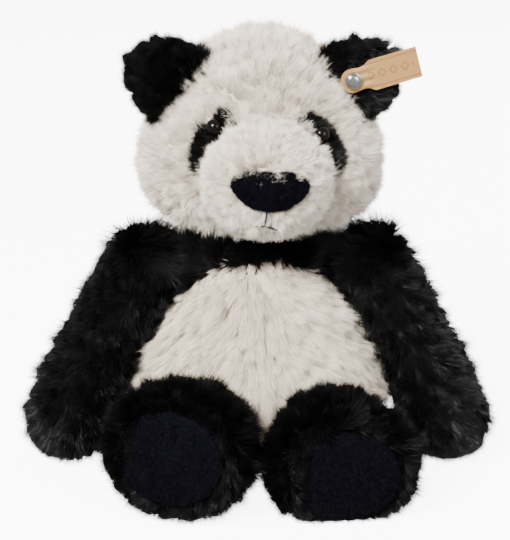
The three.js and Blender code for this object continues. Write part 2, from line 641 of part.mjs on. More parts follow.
const rivetProfile = new THREE.Path();
rivetProfile.moveTo(0, -shankEnd);
rivetProfile.lineTo(RIVET_SHANK_RADIUS, -shankEnd);
rivetProfile.lineTo(RIVET_SHANK_RADIUS, capBack);
rivetProfile.lineTo(RIVET_RADIUS, capBack);
const domeBase = capBack + RIVET_RIM;
rivetProfile.lineTo(RIVET_RADIUS, domeBase);
rivetProfile.absellipse(0, domeBase, RIVET_RADIUS, RIVET_HEIGHT - RIVET_RIM, 0, Math.PI / 2, false, 0);
const towardsFront = (shape) => shape.rotateX(Math.PI)
  .translate(RIVET_ACROSS_EAR, 0, RIVET_UP_EAR);
add(ears.left, 'tag_rivet', towardsFront(new THREE.LatheGeometry(rivetProfile.getPoints(4), 14)), nickel());

const clinch = new THREE.Path();
const clinchFront = -EAR_HALF_THICKNESS - SEAM_GAP;
clinch.moveTo(RIVET_SHANK_RADIUS + SEAM_GAP, clinchFront - RIVET_BACK_THICKNESS);
clinch.lineTo(RIVET_BACK_RADIUS, clinchFront - RIVET_BACK_THICKNESS);
clinch.lineTo(RIVET_BACK_RADIUS, clinchFront);
clinch.lineTo(RIVET_SHANK_RADIUS + SEAM_GAP, clinchFront);
clinch.closePath();
add(ears.left, 'tag_rivet_washer', towardsFront(new THREE.LatheGeometry(clinch.getPoints(), 14)), nickel());

const ribbonOutline = new THREE.Shape();
const tabRadius = RIVET_RADIUS * 1.45;
const neckStart = tabRadius * 0.9;
ribbonOutline.absarc(0, 0, tabRadius, Math.PI / 4, -Math.PI / 4, false);
ribbonOutline.lineTo(neckStart + RIBBON_TAPER, -RIBBON_WIDTH / 2);
ribbonOutline.lineTo(RIBBON_LENGTH, -RIBBON_WIDTH / 2);
ribbonOutline.lineTo(RIBBON_LENGTH, RIBBON_WIDTH / 2);
ribbonOutline.lineTo(neckStart + RIBBON_TAPER, RIBBON_WIDTH / 2);
const ribbonHole = new THREE.Path();
ribbonHole.absarc(0, 0, RIVET_SHANK_RADIUS + SEAM_GAP, 0, 2 * Math.PI, true);
ribbonOutline.holes.push(ribbonHole);
const ribbon = new THREE.ExtrudeGeometry(ribbonOutline, {
  depth: RIBBON_THICKNESS, bevelEnabled: false, curveSegments: 8,
});
ribbon.rotateX(Math.PI / 2)
  .rotateY(radians(-EAR_LEAN - RIBBON_RISE))
  .translate(RIVET_ACROSS_EAR, -ribbonBack, RIVET_UP_EAR);
add(ears.left, 'tag_ribbon', ribbon, woven());

// ---- arms and legs ----
// A line that starts one way and ends another, going on straight past both ends.
function bentLine(from, startWay, endWay, length) {
  const to = from.clone().addScaledVector(startWay, length / 2).addScaledVector(endWay, length / 2);
  const curve = new THREE.QuadraticBezierCurve3(from, from.clone().addScaledVector(startWay, length / 2), to);
  return (distance) => {
    const share = THREE.MathUtils.clamp(distance / length, 0, 1);
    const along = curve.getTangent(share);
    const side = Z.clone().cross(along).normalize();
    const past = distance - share * length;
    return {
      centre: curve.getPoint(share).addScaledVector(along, past),
      along,
      side,
      rise: along.clone().cross(side),
    };
  };
}
const seamTurn = 0.001; // half of the seam between two limb panels, as a share of a turn
const wadRoom = (pivot) => ball(pivot, JOINT_WAD_RADIUS + BEND_GAP);
const sleeve = (pivot, along, reach) => bar(pivot.clone(), pivot.clone().addScaledVector(along, -reach),
  JOINT_WAD_RADIUS * 0.7);

for (const word of ['right', 'left']) {
  const side = word === 'left' ? 1 : -1;
  const pivot = shoulderPoints[word];
  const { line, profile, form } = armShapes[word];
  const open = shareAt(profile, -SHOULDER_RADIUS * 0.5);
  const { side: sideways, rise, along } = line(0);
  const outwards = Math.atan2(rise.x * side, sideways.x * side) / (2 * Math.PI);
  add(panda, `arm_${word}_outer`,
    panel(form, [outwards - 0.25 + seamTurn, outwards + 0.25 - seamTurn], [open, 1], 6, 9), blackPlush());
  add(panda, `arm_${word}_inner`,
    panel(form, [outwards + 0.25 + seamTurn, outwards + 0.75 - seamTurn], [open, 1], 6, 9), blackPlush());
  const fill = filled(form, 12, 10, CLOTH + FILL_GAP);
  const channel = sleeve(pivot, along, 2 * SHOULDER_RADIUS);
  add(panda, `arm_${word}_stuffing`, cut(fill, wadRoom(pivot), channel), fibre());
  add(panda, `shoulder_${word}_stuffing`, ball(pivot, JOINT_WAD_RADIUS), fibre());
}

const legSplay = { right: RIGHT_LEG_SPLAY, left: LEFT_LEG_SPLAY };
const legRise = { right: RIGHT_LEG_RISE, left: LEFT_LEG_RISE };
const soleTurn = { right: RIGHT_SOLE_TURN, left: LEFT_SOLE_TURN };
// The way that a leg points: splayed to its own side, and a little up.
function legWay(side, splay, rise) {
  return new THREE.Vector3(
    side * Math.sin(radians(splay)) * Math.cos(radians(rise)),
    -Math.cos(radians(splay)) * Math.cos(radians(rise)),
    Math.sin(radians(rise)),
  );
}
for (const word of ['right', 'left']) {
  const side = word === 'left' ? 1 : -1;
  const pivot = hipPoints[word];
  const startWay = legWay(side, legSplay[word], legRise[word]);
  const line = bentLine(pivot, startWay, legWay(side, soleTurn[word], legRise[word]), LEG_LENGTH);
  const profile = new THREE.Path();
  profile.absarc(0, 0, HIP_RADIUS, Math.PI, Math.PI / 2, true);
  profile.splineThru([
    new THREE.Vector2(LEG_LENGTH * 0.16, HIP_RADIUS),
    new THREE.Vector2(LEG_LENGTH * 0.4, THREE.MathUtils.lerp(HIP_RADIUS, FOOT_RADIUS, 0.42)),
    new THREE.Vector2(LEG_LENGTH * 0.64, FOOT_RADIUS * 0.98),
    new THREE.Vector2(LEG_LENGTH * 0.82, FOOT_RADIUS),
    new THREE.Vector2(LEG_LENGTH * 0.94, THREE.MathUtils.lerp(FOOT_RADIUS, SOLE_RADIUS, 0.45)),
    new THREE.Vector2(LEG_LENGTH * 0.985, SOLE_RADIUS),
  ]);
  profile.lineTo(LEG_LENGTH, 0);
  const footShare = (along) => THREE.MathUtils.smoothstep(along, LEG_LENGTH * 0.2, LEG_LENGTH * 0.75);
  const form = softForm({
    line,
    profile,
    wide: (along) => THREE.MathUtils.lerp(1, FOOT_WIDE, footShare(along)),
    tall: (along) => THREE.MathUtils.lerp(1, FOOT_TALL, footShare(along)),
    floor: 0,
  });
  const open = shareAt(profile, -HIP_RADIUS * 0.5);
  const soleShare = shareAt(profile, LEG_LENGTH * 0.985);
  const endSeam = SOLE_SEAM / profile.getLength();
  add(panda, `leg_${word}_upper`,
    panel(form, [seamTurn, 0.5 - seamTurn], [open, soleShare - endSeam], 8, 9), blackPlush());
  add(panda, `leg_${word}_lower`,
    panel(form, [0.5 + seamTurn, 1 - seamTurn], [open, soleShare - endSeam], 8, 9), blackPlush());
  add(panda, `sole_${word}`, panel(form, [0, 1], [soleShare + endSeam, 1], 16, 2), velour());
  const fill = filled(form, 16, 12, CLOTH + FILL_GAP);
  const channel = sleeve(pivot, startWay, 2 * HIP_RADIUS);
  add(panda, `leg_${word}_stuffing`, cut(fill, wadRoom(pivot), channel), fibre());
  add(panda, `hip_${word}_stuffing`, ball(pivot, JOINT_WAD_RADIUS), fibre());
}

export default panda;
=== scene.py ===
"""A seated plush panda: cream and black pile cloth sewn over stuffing, velour nose and soles,
glossy safety eyes, and a ribbon riveted to one ear. Metres, +Z up, the panda faces -Y."""
import json
import math

import bpy
import numpy as np
from mathutils import Matrix, Vector

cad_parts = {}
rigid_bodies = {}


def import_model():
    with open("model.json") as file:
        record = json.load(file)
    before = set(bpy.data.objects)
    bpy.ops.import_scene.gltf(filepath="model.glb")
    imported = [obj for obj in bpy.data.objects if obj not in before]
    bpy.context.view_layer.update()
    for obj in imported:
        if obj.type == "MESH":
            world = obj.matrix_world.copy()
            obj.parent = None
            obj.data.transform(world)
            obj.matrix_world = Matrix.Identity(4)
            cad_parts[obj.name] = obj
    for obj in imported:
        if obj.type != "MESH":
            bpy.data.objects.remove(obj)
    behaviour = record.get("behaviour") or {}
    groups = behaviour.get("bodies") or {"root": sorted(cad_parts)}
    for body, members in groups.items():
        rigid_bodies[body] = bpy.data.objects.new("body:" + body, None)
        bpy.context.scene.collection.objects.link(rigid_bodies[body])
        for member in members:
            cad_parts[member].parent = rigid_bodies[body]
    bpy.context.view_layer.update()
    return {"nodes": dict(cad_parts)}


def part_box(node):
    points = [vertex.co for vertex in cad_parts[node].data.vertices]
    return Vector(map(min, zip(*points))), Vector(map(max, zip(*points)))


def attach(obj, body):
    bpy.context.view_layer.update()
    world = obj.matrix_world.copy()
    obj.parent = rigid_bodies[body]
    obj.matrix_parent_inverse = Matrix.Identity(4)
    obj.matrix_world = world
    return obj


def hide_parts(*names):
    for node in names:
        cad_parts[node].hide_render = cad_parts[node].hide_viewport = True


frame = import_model()
MM = 0.001

# ---- camera ----
# A long lens a little above the toy, looking slightly down at its front.
LENS = 116.0
CAMERA_PLACE = Vector((0.0, -1.0574, 0.4332))
CAMERA_AIM = Vector((-0.0013, -0.0042, 0.1152))
camera_data = bpy.data.cameras.new("camera")
camera_data.lens = LENS
camera_data.sensor_width = 36.0
camera_data.clip_start = 0.05
camera = bpy.data.objects.new("camera", camera_data)
bpy.context.scene.collection.objects.link(camera)
camera.location = CAMERA_PLACE
camera.rotation_euler = (CAMERA_AIM - CAMERA_PLACE).to_track_quat("-Z", "Y").to_euler()
bpy.context.scene.camera = camera


# ---- studio ----
# A pale matt floor that glows and runs out of sight, a large soft key light from the upper left,
# a weaker fill from the right, and one behind that lights the ends of the pile.
def soft_light(name, place, aim, size, power, colour):
    data = bpy.data.lights.new(name, "AREA")
    data.shape = "DISK"
    data.size = size
    data.energy = power
    data.color = colour
    light = bpy.data.objects.new(name, data)
    bpy.context.scene.collection.objects.link(light)
    light.location = place
    light.rotation_euler = (Vector(aim) - Vector(place)).to_track_quat("-Z", "Y").to_euler()


soft_light("key_light", (-0.75, -1.25, 1.25), (0, 0, 0.14), 0.7, 112, (1.0, 0.975, 0.94))
soft_light("fill_light", (1.1, -1.0, 0.7), (0, 0, 0.12), 1.0, 15, (0.95, 0.97, 1.0))
soft_light("rim_light", (0.5, 1.2, 1.1), (0, 0, 0.16), 0.9, 20, (1.0, 1.0, 1.0))
room = bpy.data.worlds.new("room")
bpy.context.scene.world = room
room.use_nodes = True
room.node_tree.nodes["Background"].inputs["Color"].default_value = (1.0, 0.99, 0.975, 1)
room.node_tree.nodes["Background"].inputs["Strength"].default_value = 0.82

bpy.ops.object.select_all(action="DESELECT")
bpy.ops.mesh.primitive_plane_add(size=90)
floor = bpy.context.object
floor.name = "floor"
floor_paint = bpy.data.materials.new("pale_floor")
floor_paint.use_nodes = True
floor_tree = floor_paint.node_tree
floor_shader = floor_tree.nodes["Principled BSDF"]
floor_shader.inputs["Roughness"].default_value = 0.8
floor_noise = floor_tree.nodes.new("ShaderNodeTexNoise")
floor_noise.inputs["Scale"].default_value = 3.0
floor_ramp = floor_tree.nodes.new("ShaderNodeValToRGB")
floor_ramp.color_ramp.elements[0].color = (0.86, 0.86, 0.86, 1)
floor_ramp.color_ramp.elements[1].color = (0.9, 0.9, 0.895, 1)
floor_tree.links.new(floor_noise.outputs["Fac"], floor_ramp.inputs["Fac"])
floor_tree.links.new(floor_ramp.outputs["Color"], floor_shader.inputs["Base Color"])
floor_tree.links.new(floor_ramp.outputs["Color"], floor_shader.inputs["Emission Color"])
floor_shader.inputs["Emission Strength"].default_value = 9.0
floor.data.materials.append(floor_paint)
floor.visible_diffuse = False
floor.visible_glossy = False


# ---- pile cloth: what it is made of ----
# Polyester pile on a knitted backing. Each fibre is painted darker at its root, painted shade deep in
# the pile, and each fibre and tuft is painted a little lighter or darker at random, painted shade
# between tufts. Away from the pile, the backing shows as a fine loop texture, its cream painted
# darker than the fibre tips as shade beneath the pile.
def shader_group(name, inputs, outputs):
    group = bpy.data.node_groups.new(name, "ShaderNodeTree")
    for label, kind, value in inputs:
        socket = group.interface.new_socket(label, in_out="INPUT", socket_type=kind)
        socket.default_value = value
    for label, kind in outputs:
        group.interface.new_socket(label, in_out="OUTPUT", socket_type=kind)
    return group, group.nodes.new("NodeGroupInput"), group.nodes.new("NodeGroupOutput")


def fibre_colour_group():
    """Colour from root to tip, painted shade at the root, and a random painted shade per tuft."""
    group, given, result = shader_group(
        "fibre_colour",
        [("Root", "NodeSocketColor", (0.5, 0.5, 0.5, 1)), ("Tip", "NodeSocketColor", (1, 1, 1, 1)),
         ("Tint", "NodeSocketFloat", 0.1)],
        [("Color", "NodeSocketColor")])
    place = group.nodes.new("ShaderNodeUVMap")
    place.uv_map = "OFBake"
    apart = group.nodes.new("ShaderNodeSeparateXYZ")
    along = group.nodes.new("ShaderNodeMix")
    along.data_type = "RGBA"
    shade = group.nodes.new("ShaderNodeMath")
    shade.operation = "MULTIPLY_ADD"
    shade.inputs[2].default_value = 1.0
    centred = group.nodes.new("ShaderNodeMath")
    centred.operation = "SUBTRACT"
    centred.inputs[1].default_value = 0.5
    tuft_shaded = group.nodes.new("ShaderNodeVectorMath")
    tuft_shaded.operation = "SCALE"
    link = group.links.new
    link(place.outputs["UV"], apart.inputs[0])
    link(apart.outputs["Y"], along.inputs["Factor"])
    link(given.outputs["Root"], along.inputs["A"])
    link(given.outputs["Tip"], along.inputs["B"])
    link(apart.outputs["X"], centred.inputs[0])
    link(centred.outputs[0], shade.inputs[0])
    link(given.outputs["Tint"], shade.inputs[1])
    link(along.outputs["Result"], tuft_shaded.inputs[0])
    link(shade.outputs[0], tuft_shaded.inputs["Scale"])
    link(tuft_shaded.outputs[0], result.inputs["Color"])
    return group


def cloth_grain_group():
    """Loops and unevenness of a cloth surface: a colour between two, and a height."""
    group, given, result = shader_group(
        "cloth_grain",
        [("Dark", "NodeSocketColor", (0.5, 0.5, 0.5, 1)), ("Light", "NodeSocketColor", (1, 1, 1, 1)),
         ("Scale", "NodeSocketFloat", 900.0)],
        [("Color", "NodeSocketColor"), ("Height", "NodeSocketFloat")])
    place = group.nodes.new("ShaderNodeTexCoord")
    fine = group.nodes.new("ShaderNodeTexNoise")
    fine.inputs["Detail"].default_value = 4.0
    wide = group.nodes.new("ShaderNodeTexNoise")
    wide.inputs["Scale"].default_value = 60.0
    both = group.nodes.new("ShaderNodeMath")
    both.operation = "MULTIPLY_ADD"
    both.inputs[1].default_value = 0.6
    half = group.nodes.new("ShaderNodeMath")
    half.operation = "MULTIPLY"
    half.inputs[1].default_value = 0.4
    colour = group.nodes.new("ShaderNodeMix")
    colour.data_type = "RGBA"
    link = group.links.new
    link(place.outputs["Object"], fine.inputs["Vector"])
    link(place.outputs["Object"], wide.inputs["Vector"])
    link(given.outputs["Scale"], fine.inputs["Scale"])
    link(wide.outputs["Fac"], half.inputs[0])
    link(fine.outputs["Fac"], both.inputs[0])
    link(half.outputs[0], both.inputs[2])
    link(both.outputs[0], colour.inputs["Factor"])
    link(given.outputs["Dark"], colour.inputs["A"])
    link(given.outputs["Light"], colour.inputs["B"])
    link(colour.outputs["Result"], result.inputs["Color"])
    link(both.outputs[0], result.inputs["Height"])
    return group


FIBRE_COLOUR = fibre_colour_group()
CLOTH_GRAIN = cloth_grain_group()


def opaque(colour):
    return (*colour, 1)


def fibre_finish(name, root, tip, tuft_shade, roughness, sheen, specular):
    material = bpy.data.materials.new(name)
    material.use_nodes = True
    tree = material.node_tree
    shader = tree.nodes["Principled BSDF"]
    shader.inputs["Roughness"].default_value = roughness
    shader.inputs["Sheen Weight"].default_value = sheen
    shader.inputs["Sheen Roughness"].default_value = 0.5
    shader.inputs["Specular IOR Level"].default_value = specular
    colour = tree.nodes.new("ShaderNodeGroup")
    colour.node_tree = FIBRE_COLOUR
    colour.inputs["Root"].default_value = opaque(root)
    colour.inputs["Tip"].default_value = opaque(tip)
    colour.inputs["Tint"].default_value = tuft_shade
    tree.links.new(colour.outputs["Color"], shader.inputs["Base Color"])
    return material


def cloth_finish(name, dark, light, scale, depth, roughness=0.95, sheen=0.2, specular=0.2):
    material = bpy.data.materials.new(name)
    material.use_nodes = True
    tree = material.node_tree
    shader = tree.nodes["Principled BSDF"]
    shader.inputs["Roughness"].default_value = roughness
    shader.inputs["Sheen Weight"].default_value = sheen
    shader.inputs["Specular IOR Level"].default_value = specular
    grain = tree.nodes.new("ShaderNodeGroup")
    grain.node_tree = CLOTH_GRAIN
    grain.inputs["Dark"].default_value = opaque(dark)
    grain.inputs["Light"].default_value = opaque(light)
    grain.inputs["Scale"].default_value = scale
    bump = tree.nodes.new("ShaderNodeBump")
    bump.inputs["Distance"].default_value = depth
    bump.inputs["Strength"].default_value = 0.6
    tree.links.new(grain.outputs["Color"], shader.inputs["Base Color"])
    tree.links.new(grain.outputs["Height"], bump.inputs["Height"])
    tree.links.new(bump.outputs["Normal"], shader.inputs["Normal"])
    return material


# In the fibre finishes below, the darker root colour is painted shade deep in the pile, and the tuft-shade
# value sets how far each tuft is painted lighter or darker, painted shade between tufts.
cream_fibre = fibre_finish("cream_fibre", (0.42, 0.325, 0.225), (0.99, 0.92, 0.82), 0.36, 0.8, 0.1, 0.25)
black_fibre = fibre_finish("black_fibre", (0.001, 0.001, 0.0012), (0.0034, 0.0032, 0.0038), 0.6, 0.45,
                           0.0, 0.26)
# The backing's cream is painted darker than the fibre tips: painted shade beneath the pile.
shaded_cream_backing = cloth_finish("shaded_cream_backing", (0.66, 0.58, 0.48), (0.82, 0.76, 0.67), 900, 0.0004)
black_backing = cloth_finish("black_backing", (0.001, 0.001, 0.001), (0.003, 0.003, 0.003), 900, 0.0004,
                             sheen=0.0, specular=0.05)


# ---- pile cloth: how it is cut, stuffed and combed ----
# The panels are sewn inside out, turned, and stuffed until the cloth is round between its seams.
# Then the pile is combed, and its fibres draw together at their ends into small tufts.
CLOTH_STEPS = 20
ROOT_DEPTH = 0.0006
FIBRE_OFF_FLOOR = 0.0004


def only(piece):
    bpy.ops.object.select_all(action="DESELECT")
    piece.select_set(True)
    bpy.context.view_layer.objects.active = piece


def applied(piece, kind, **settings):
    modifier = piece.modifiers.new(kind.lower(), kind)
    for key, value in settings.items():
        setattr(modifier, key, value)
    only(piece)
    bpy.ops.object.modifier_apply(modifier=modifier.name)


def points_of(piece):
    values = np.empty(len(piece.data.vertices) * 3, np.float32)
    piece.data.vertices.foreach_get("co", values)
    return values.reshape(-1, 3).astype(float)


def set_points(piece, points):
    piece.data.vertices.foreach_set("co", points.astype(np.float32).ravel())
    piece.data.update()


def sewn(name, nodes, voxel, smooth):
    """One closed skin round the named panels and their stuffing."""
    bpy.ops.object.select_all(action="DESELECT")
    copies = []
    for node in nodes:
        copy = bpy.data.objects.new(name, frame["nodes"][node].data.copy())
        bpy.context.scene.collection.objects.link(copy)
        copy.select_set(True)
        copies.append(copy)
    skin = copies[0]
    bpy.context.view_layer.objects.active = skin
    if len(copies) > 1:
        bpy.ops.object.join()
    skin.name = name
    skin.data.name = name
    skin.data.materials.clear()
    skin.data.remesh_voxel_size = voxel
    bpy.ops.object.voxel_remesh()
    outermost = int(np.argmax(points_of(skin)[:, 2]))
    bpy.ops.object.mode_set(mode="EDIT")
    bpy.ops.mesh.select_all(action="DESELECT")
    bpy.ops.object.mode_set(mode="OBJECT")
    skin.data.vertices[outermost].select = True
    bpy.ops.object.mode_set(mode="EDIT")
    bpy.ops.mesh.select_linked()
    bpy.ops.mesh.select_all(action="INVERT")
    bpy.ops.mesh.delete(type="VERT")
    bpy.ops.object.mode_set(mode="OBJECT")
    applied(skin, "SMOOTH", factor=0.5, iterations=smooth)
    return skin


def stuffed(skin, pressure, cap, swell=0.0):
    """Blows the skin up a little, as tight stuffing does, then smooths and refines it."""
    rest = points_of(skin)
    cloth = skin.modifiers.new("stuffing", "CLOTH")
    cloth.settings.use_pressure = True
    cloth.settings.uniform_pressure_force = pressure
    cloth.settings.effector_weights.gravity = 0.0
    cloth.settings.tension_stiffness = 30
    cloth.settings.compression_stiffness = 30
    for moment in range(1, CLOTH_STEPS + 1):
        bpy.context.scene.frame_set(moment)
    only(skin)
    bpy.ops.object.modifier_apply(modifier=cloth.name)
    bpy.context.scene.frame_set(1)
    move = points_of(skin) - rest
    far = np.linalg.norm(move, axis=1, keepdims=True)
    set_points(skin, rest + move * np.minimum(1, cap / np.maximum(far, 1e-9)))
    applied(skin, "SMOOTH", factor=0.5, iterations=2)
    applied(skin, "DISPLACE", strength=swell, mid_level=0.0)
    applied(skin, "SUBSURF", levels=1, render_levels=1)
    only(skin)
    bpy.ops.object.shade_smooth()
    return skin


def keep_off_floor(points, height):
    points[:, 2] = np.maximum(points[:, 2], height)
    return points


def unit(vectors):
    return vectors / np.maximum(np.linalg.norm(vectors, axis=1, keepdims=True), 1e-12)


def row_dot(a, b):
    return (a * b).sum(1, keepdims=True)


def waves(points, size, seed):
    """Three smooth wandering values at each point, about -1 to 1, that change over a size."""
    draw = np.random.default_rng(seed)
    total = np.zeros((len(points), 3))
    for _ in range(6):
        way = draw.normal(size=(3, 3)) / size
        total += np.sin(points @ way + draw.uniform(0, 2 * math.pi, 3))
    return total / 3


def scrambled(cells, seed):
    """Three values from 0 to 1 that depend only on a cell's whole numbers."""
    mixed = np.sin(cells @ np.array([[127.1, 269.5, 113.5], [311.7, 183.3, 271.9], [74.7, 246.1, 124.6]])
                   + seed) * 43758.5453
    return mixed - np.floor(mixed)


def tufts(points, size, seed):
    """The middle of the tuft that each point belongs to, and three values of that tuft."""
    home = np.floor(points / size)
    best = np.full(len(points), np.inf)
    middle = np.zeros_like(points)
    own = np.zeros_like(points)
    for dx in (-1, 0, 1):
        for dy in (-1, 0, 1):
            for dz in (-1, 0, 1):
                cell = home + (dx, dy, dz)
                at = (cell + 0.15 + 0.7 * scrambled(cell, seed)) * size
                apart = ((at - points) ** 2).sum(1)
                nearer = apart < best
                best[nearer] = apart[nearer]
                middle[nearer] = at[nearer]
                own[nearer] = scrambled(cell[nearer], seed + 7.7)
    return middle, own


def rooted(skin, count, draw, where=None):
    """Places spread evenly over a skin, with the way out of it at each."""
    mesh = skin.data
    mesh.calc_loop_triangles()
    corners = np.empty(len(mesh.loop_triangles) * 3, np.int32)
    mesh.loop_triangles.foreach_get("vertices", corners)
    corners = corners.reshape(-1, 3)
    points = points_of(skin)
    outs = np.empty(len(points) * 3, np.float32)
    mesh.vertices.foreach_get("normal", outs)
    outs = outs.reshape(-1, 3)
    a, b, c = (points[corners[:, k]] for k in range(3))
    areas = np.linalg.norm(np.cross(b - a, c - a), axis=1)
    if where is not None:
        areas = areas * np.clip(where((a + b + c) / 3), 0, None)
    share = np.cumsum(areas) / areas.sum()
    drawn = (np.arange(count) + draw.random(count)) / count
    chosen = corners[np.minimum(np.searchsorted(share, drawn), len(share) - 1)]
    u, v = draw.random(count), draw.random(count)
    flip = u + v > 1
    u[flip], v[flip] = 1 - u[flip], 1 - v[flip]
    weights = np.stack([1 - u - v, u, v], 1)[:, :, None]
    return (points[chosen] * weights).sum(1), unit((outs[chosen] * weights).sum(1))


def pile(name, skin, body, finish, count, length, width, comb, lift=0.5, tuft=0.005, draw_in=0.5,
         stray=0.22, where=None, long_at=None, seed=1):
    """Combed fibres on a skin: comb gives the way they lie at a place, lift how far they stand up."""
    draw = np.random.default_rng(seed)
    root, out = rooted(skin, count, draw, where)
    middle, own = tufts(root, tuft, seed)
    lie = comb(root, out) + 0.3 * waves(root, 0.02, seed)
    lie = unit(lie - out * row_dot(lie, out))
    lean = (own - 0.5) * 2 * stray
    way = unit(out * lift + lie * (1 - lift) + lean + draw.normal(size=root.shape) * stray * 0.5)
    size = length * (0.62 + 0.5 * draw.random((count, 1))) * (0.85 + 0.3 * own[:, :1])
    size *= np.where(own[:, 2:] > 0.8, 1.35, 1.0)
    if long_at is not None:
        size = size * long_at(root)[:, None]
    tip = root + way * size
    to_middle = middle - root
    to_middle -= out * row_dot(to_middle, out)
    tip += to_middle * draw_in * (0.4 + 0.6 * draw.random((count, 1)))
    root = root - out * ROOT_DEPTH
    axis = unit(tip - root)
    flat = unit(np.cross(axis, out))
    roll = draw.normal(size=(count, 1)) * 0.45
    flat = flat * np.cos(roll) + np.cross(axis, flat) * np.sin(roll)
    wide = flat * width * (0.7 + 0.6 * draw.random((count, 1))) / 2
    corners = keep_off_floor(np.stack([root - wide, root + wide, tip], 1).reshape(-1, 3), FIBRE_OFF_FLOOR)
    mesh = bpy.data.meshes.new(name)
    mesh.vertices.add(count * 3)
    mesh.vertices.foreach_set("co", corners.astype(np.float32).ravel())
    mesh.loops.add(count * 3)
    mesh.loops.foreach_set("vertex_index", np.arange(count * 3, dtype=np.int32))
    mesh.polygons.add(count)
    mesh.polygons.foreach_set("loop_start", np.arange(0, count * 3, 3, dtype=np.int32))
    mesh.polygons.foreach_set("loop_total", np.full(count, 3, np.int32))
    mesh.update(calc_edges=True)
    tuft_shade = 0.02 + 0.96 * (0.5 * own[:, 1] + 0.5 * draw.random(count))
    places = np.stack([np.repeat(tuft_shade, 3), np.tile([0.02, 0.02, 0.98], count)], 1)
    mesh.uv_layers.new(name="OFBake").data.foreach_set("uv", places.astype(np.float32).ravel())
    piece = bpy.data.objects.new(name, mesh)
    bpy.context.scene.collection.objects.link(piece)
    mesh.materials.append(finish)
    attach(piece, body)
    return piece


def box_middle(node):
    low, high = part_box(node)
    return np.array((low + high) / 2)


def whole_box(nodes):
    boxes = [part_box(node) for node in nodes]
    return np.min([b[0] for b in boxes], 0), np.max([b[1] for b in boxes], 0)


def cover(skin, body, slot, finish, fill, *nodes):
    skin.data.materials.append(finish)
    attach(skin, body)
    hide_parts(*nodes)


# ---- torso ----
# A pear of cloth in three parts: two cream back panels, two cream belly panels that meet down the
# middle, and a black yoke over the chest and shoulders. The seat is flat, with pellets behind it.
TORSO_PANELS = ["back_panel_left", "back_panel_right", "belly_panel_left", "belly_panel_right", "seat_panel"]
YOKE_PANELS = ["yoke_front", "yoke_back"]
CUT_GAP = 0.0002
SIDE_Y = 0.004
SEAT_PILE_Z = 0.004
yoke_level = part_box("yoke_front")[0].z
torso_whole = sewn("torso_skin", TORSO_PANELS + YOKE_PANELS + ["body_stuffing", "pellet_bag"], 0.005, 12)
stuffed(torso_whole, 3.0, 0.003, 0.0025)
set_points(torso_whole, keep_off_floor(points_of(torso_whole), 0.0005))


def bisected(source, name, level, keep_above):
    """A copy of a skin cut level across, with the cut closed."""
    half = source.copy()
    half.data = source.data.copy()
    half.name = name
    half.data.name = name
    bpy.context.scene.collection.objects.link(half)
    only(half)
    bpy.ops.object.mode_set(mode="EDIT")
    bpy.ops.mesh.select_all(action="SELECT")
    bpy.ops.mesh.bisect(plane_co=(0, 0, level), plane_no=(0, 0, 1), use_fill=True,
                        clear_inner=keep_above, clear_outer=not keep_above)
    bpy.ops.object.mode_set(mode="OBJECT")
    return half


belly_skin = bisected(torso_whole, "belly_skin", yoke_level - CUT_GAP, False)
yoke_skin = bisected(torso_whole, "yoke_skin", yoke_level + CUT_GAP, True)
cover(belly_skin, "body", "cream_plush", shaded_cream_backing, 0.7, *TORSO_PANELS)
cover(yoke_skin, "body", "black_plush", black_backing, 0.7, *YOKE_PANELS)


def yoke_edge(points):
    """Height of the edge between black and cream: an arch in front, level behind."""
    front = np.clip(0.5 - points[:, 1] / 0.03, 0, 1)
    arch = yoke_level + 0.0095 - 10.5 * (points[:, 0] - 0.004) ** 2
    wander = 0.0012 * waves(points, 0.006, 5)[:, 0]
    return front * arch + (1 - front) * yoke_level + wander


def is_yoke(points):
    return (points[:, 2] > yoke_edge(points)).astype(float)


def is_belly(points):
    return 1 - is_yoke(points)


def belly_comb(points, out):
    """Down, and away from the seam in the middle of the belly."""
    away = np.sign(points[:, 0]) * np.minimum(np.abs(points[:, 0]) / 0.02, 1) * 0.75
    return np.stack([away, 0 * away, -np.ones(len(points))], 1)


def beside_neck(points):
    """1 where the yoke rises from the shoulders to the neck, 0 elsewhere."""
    aside = np.clip((np.abs(points[:, 0]) - 0.018) / 0.012, 0, 1)
    raised = np.clip((points[:, 2] - 0.119) / 0.004, 0, 1)
    return aside * raised


def yoke_comb(points, out):
    """Down over the chest and back, and up against the neck over the shoulders."""
    rise = beside_neck(points)[:, None]
    side = np.sign(points[:, :1]) * np.array([1.0, 0, 0])
    down = np.stack([points[:, 0] / 0.05, 0 * points[:, 0], -np.ones(len(points))], 1)
    return down * (1 - rise) + (side * 0.8 + np.array([0, 0, 1.2])) * rise


def yoke_length(points):
    """Twice as long beside the neck."""
    return 1 + beside_neck(points)


def yoke_cover(points):
    return is_yoke(points) * (1 + 2.5 * beside_neck(points))


def belly_length(points):
    """Longest on the front of the belly, short by the yoke, and under the seat where it is pressed."""
    below_yoke = np.clip((yoke_edge(points) - points[:, 2]) / 0.014, 0.45, 1)
    return np.clip(0.35 + points[:, 2] / 0.05, 0.35, 1) * below_yoke


def belly_front(points):
    return is_belly(points) * (points[:, 1] < SIDE_Y) * (points[:, 2] > SEAT_PILE_Z)


def belly_behind(points):
    return is_belly(points) * (points[:, 1] >= SIDE_Y) * (points[:, 2] > SEAT_PILE_Z)


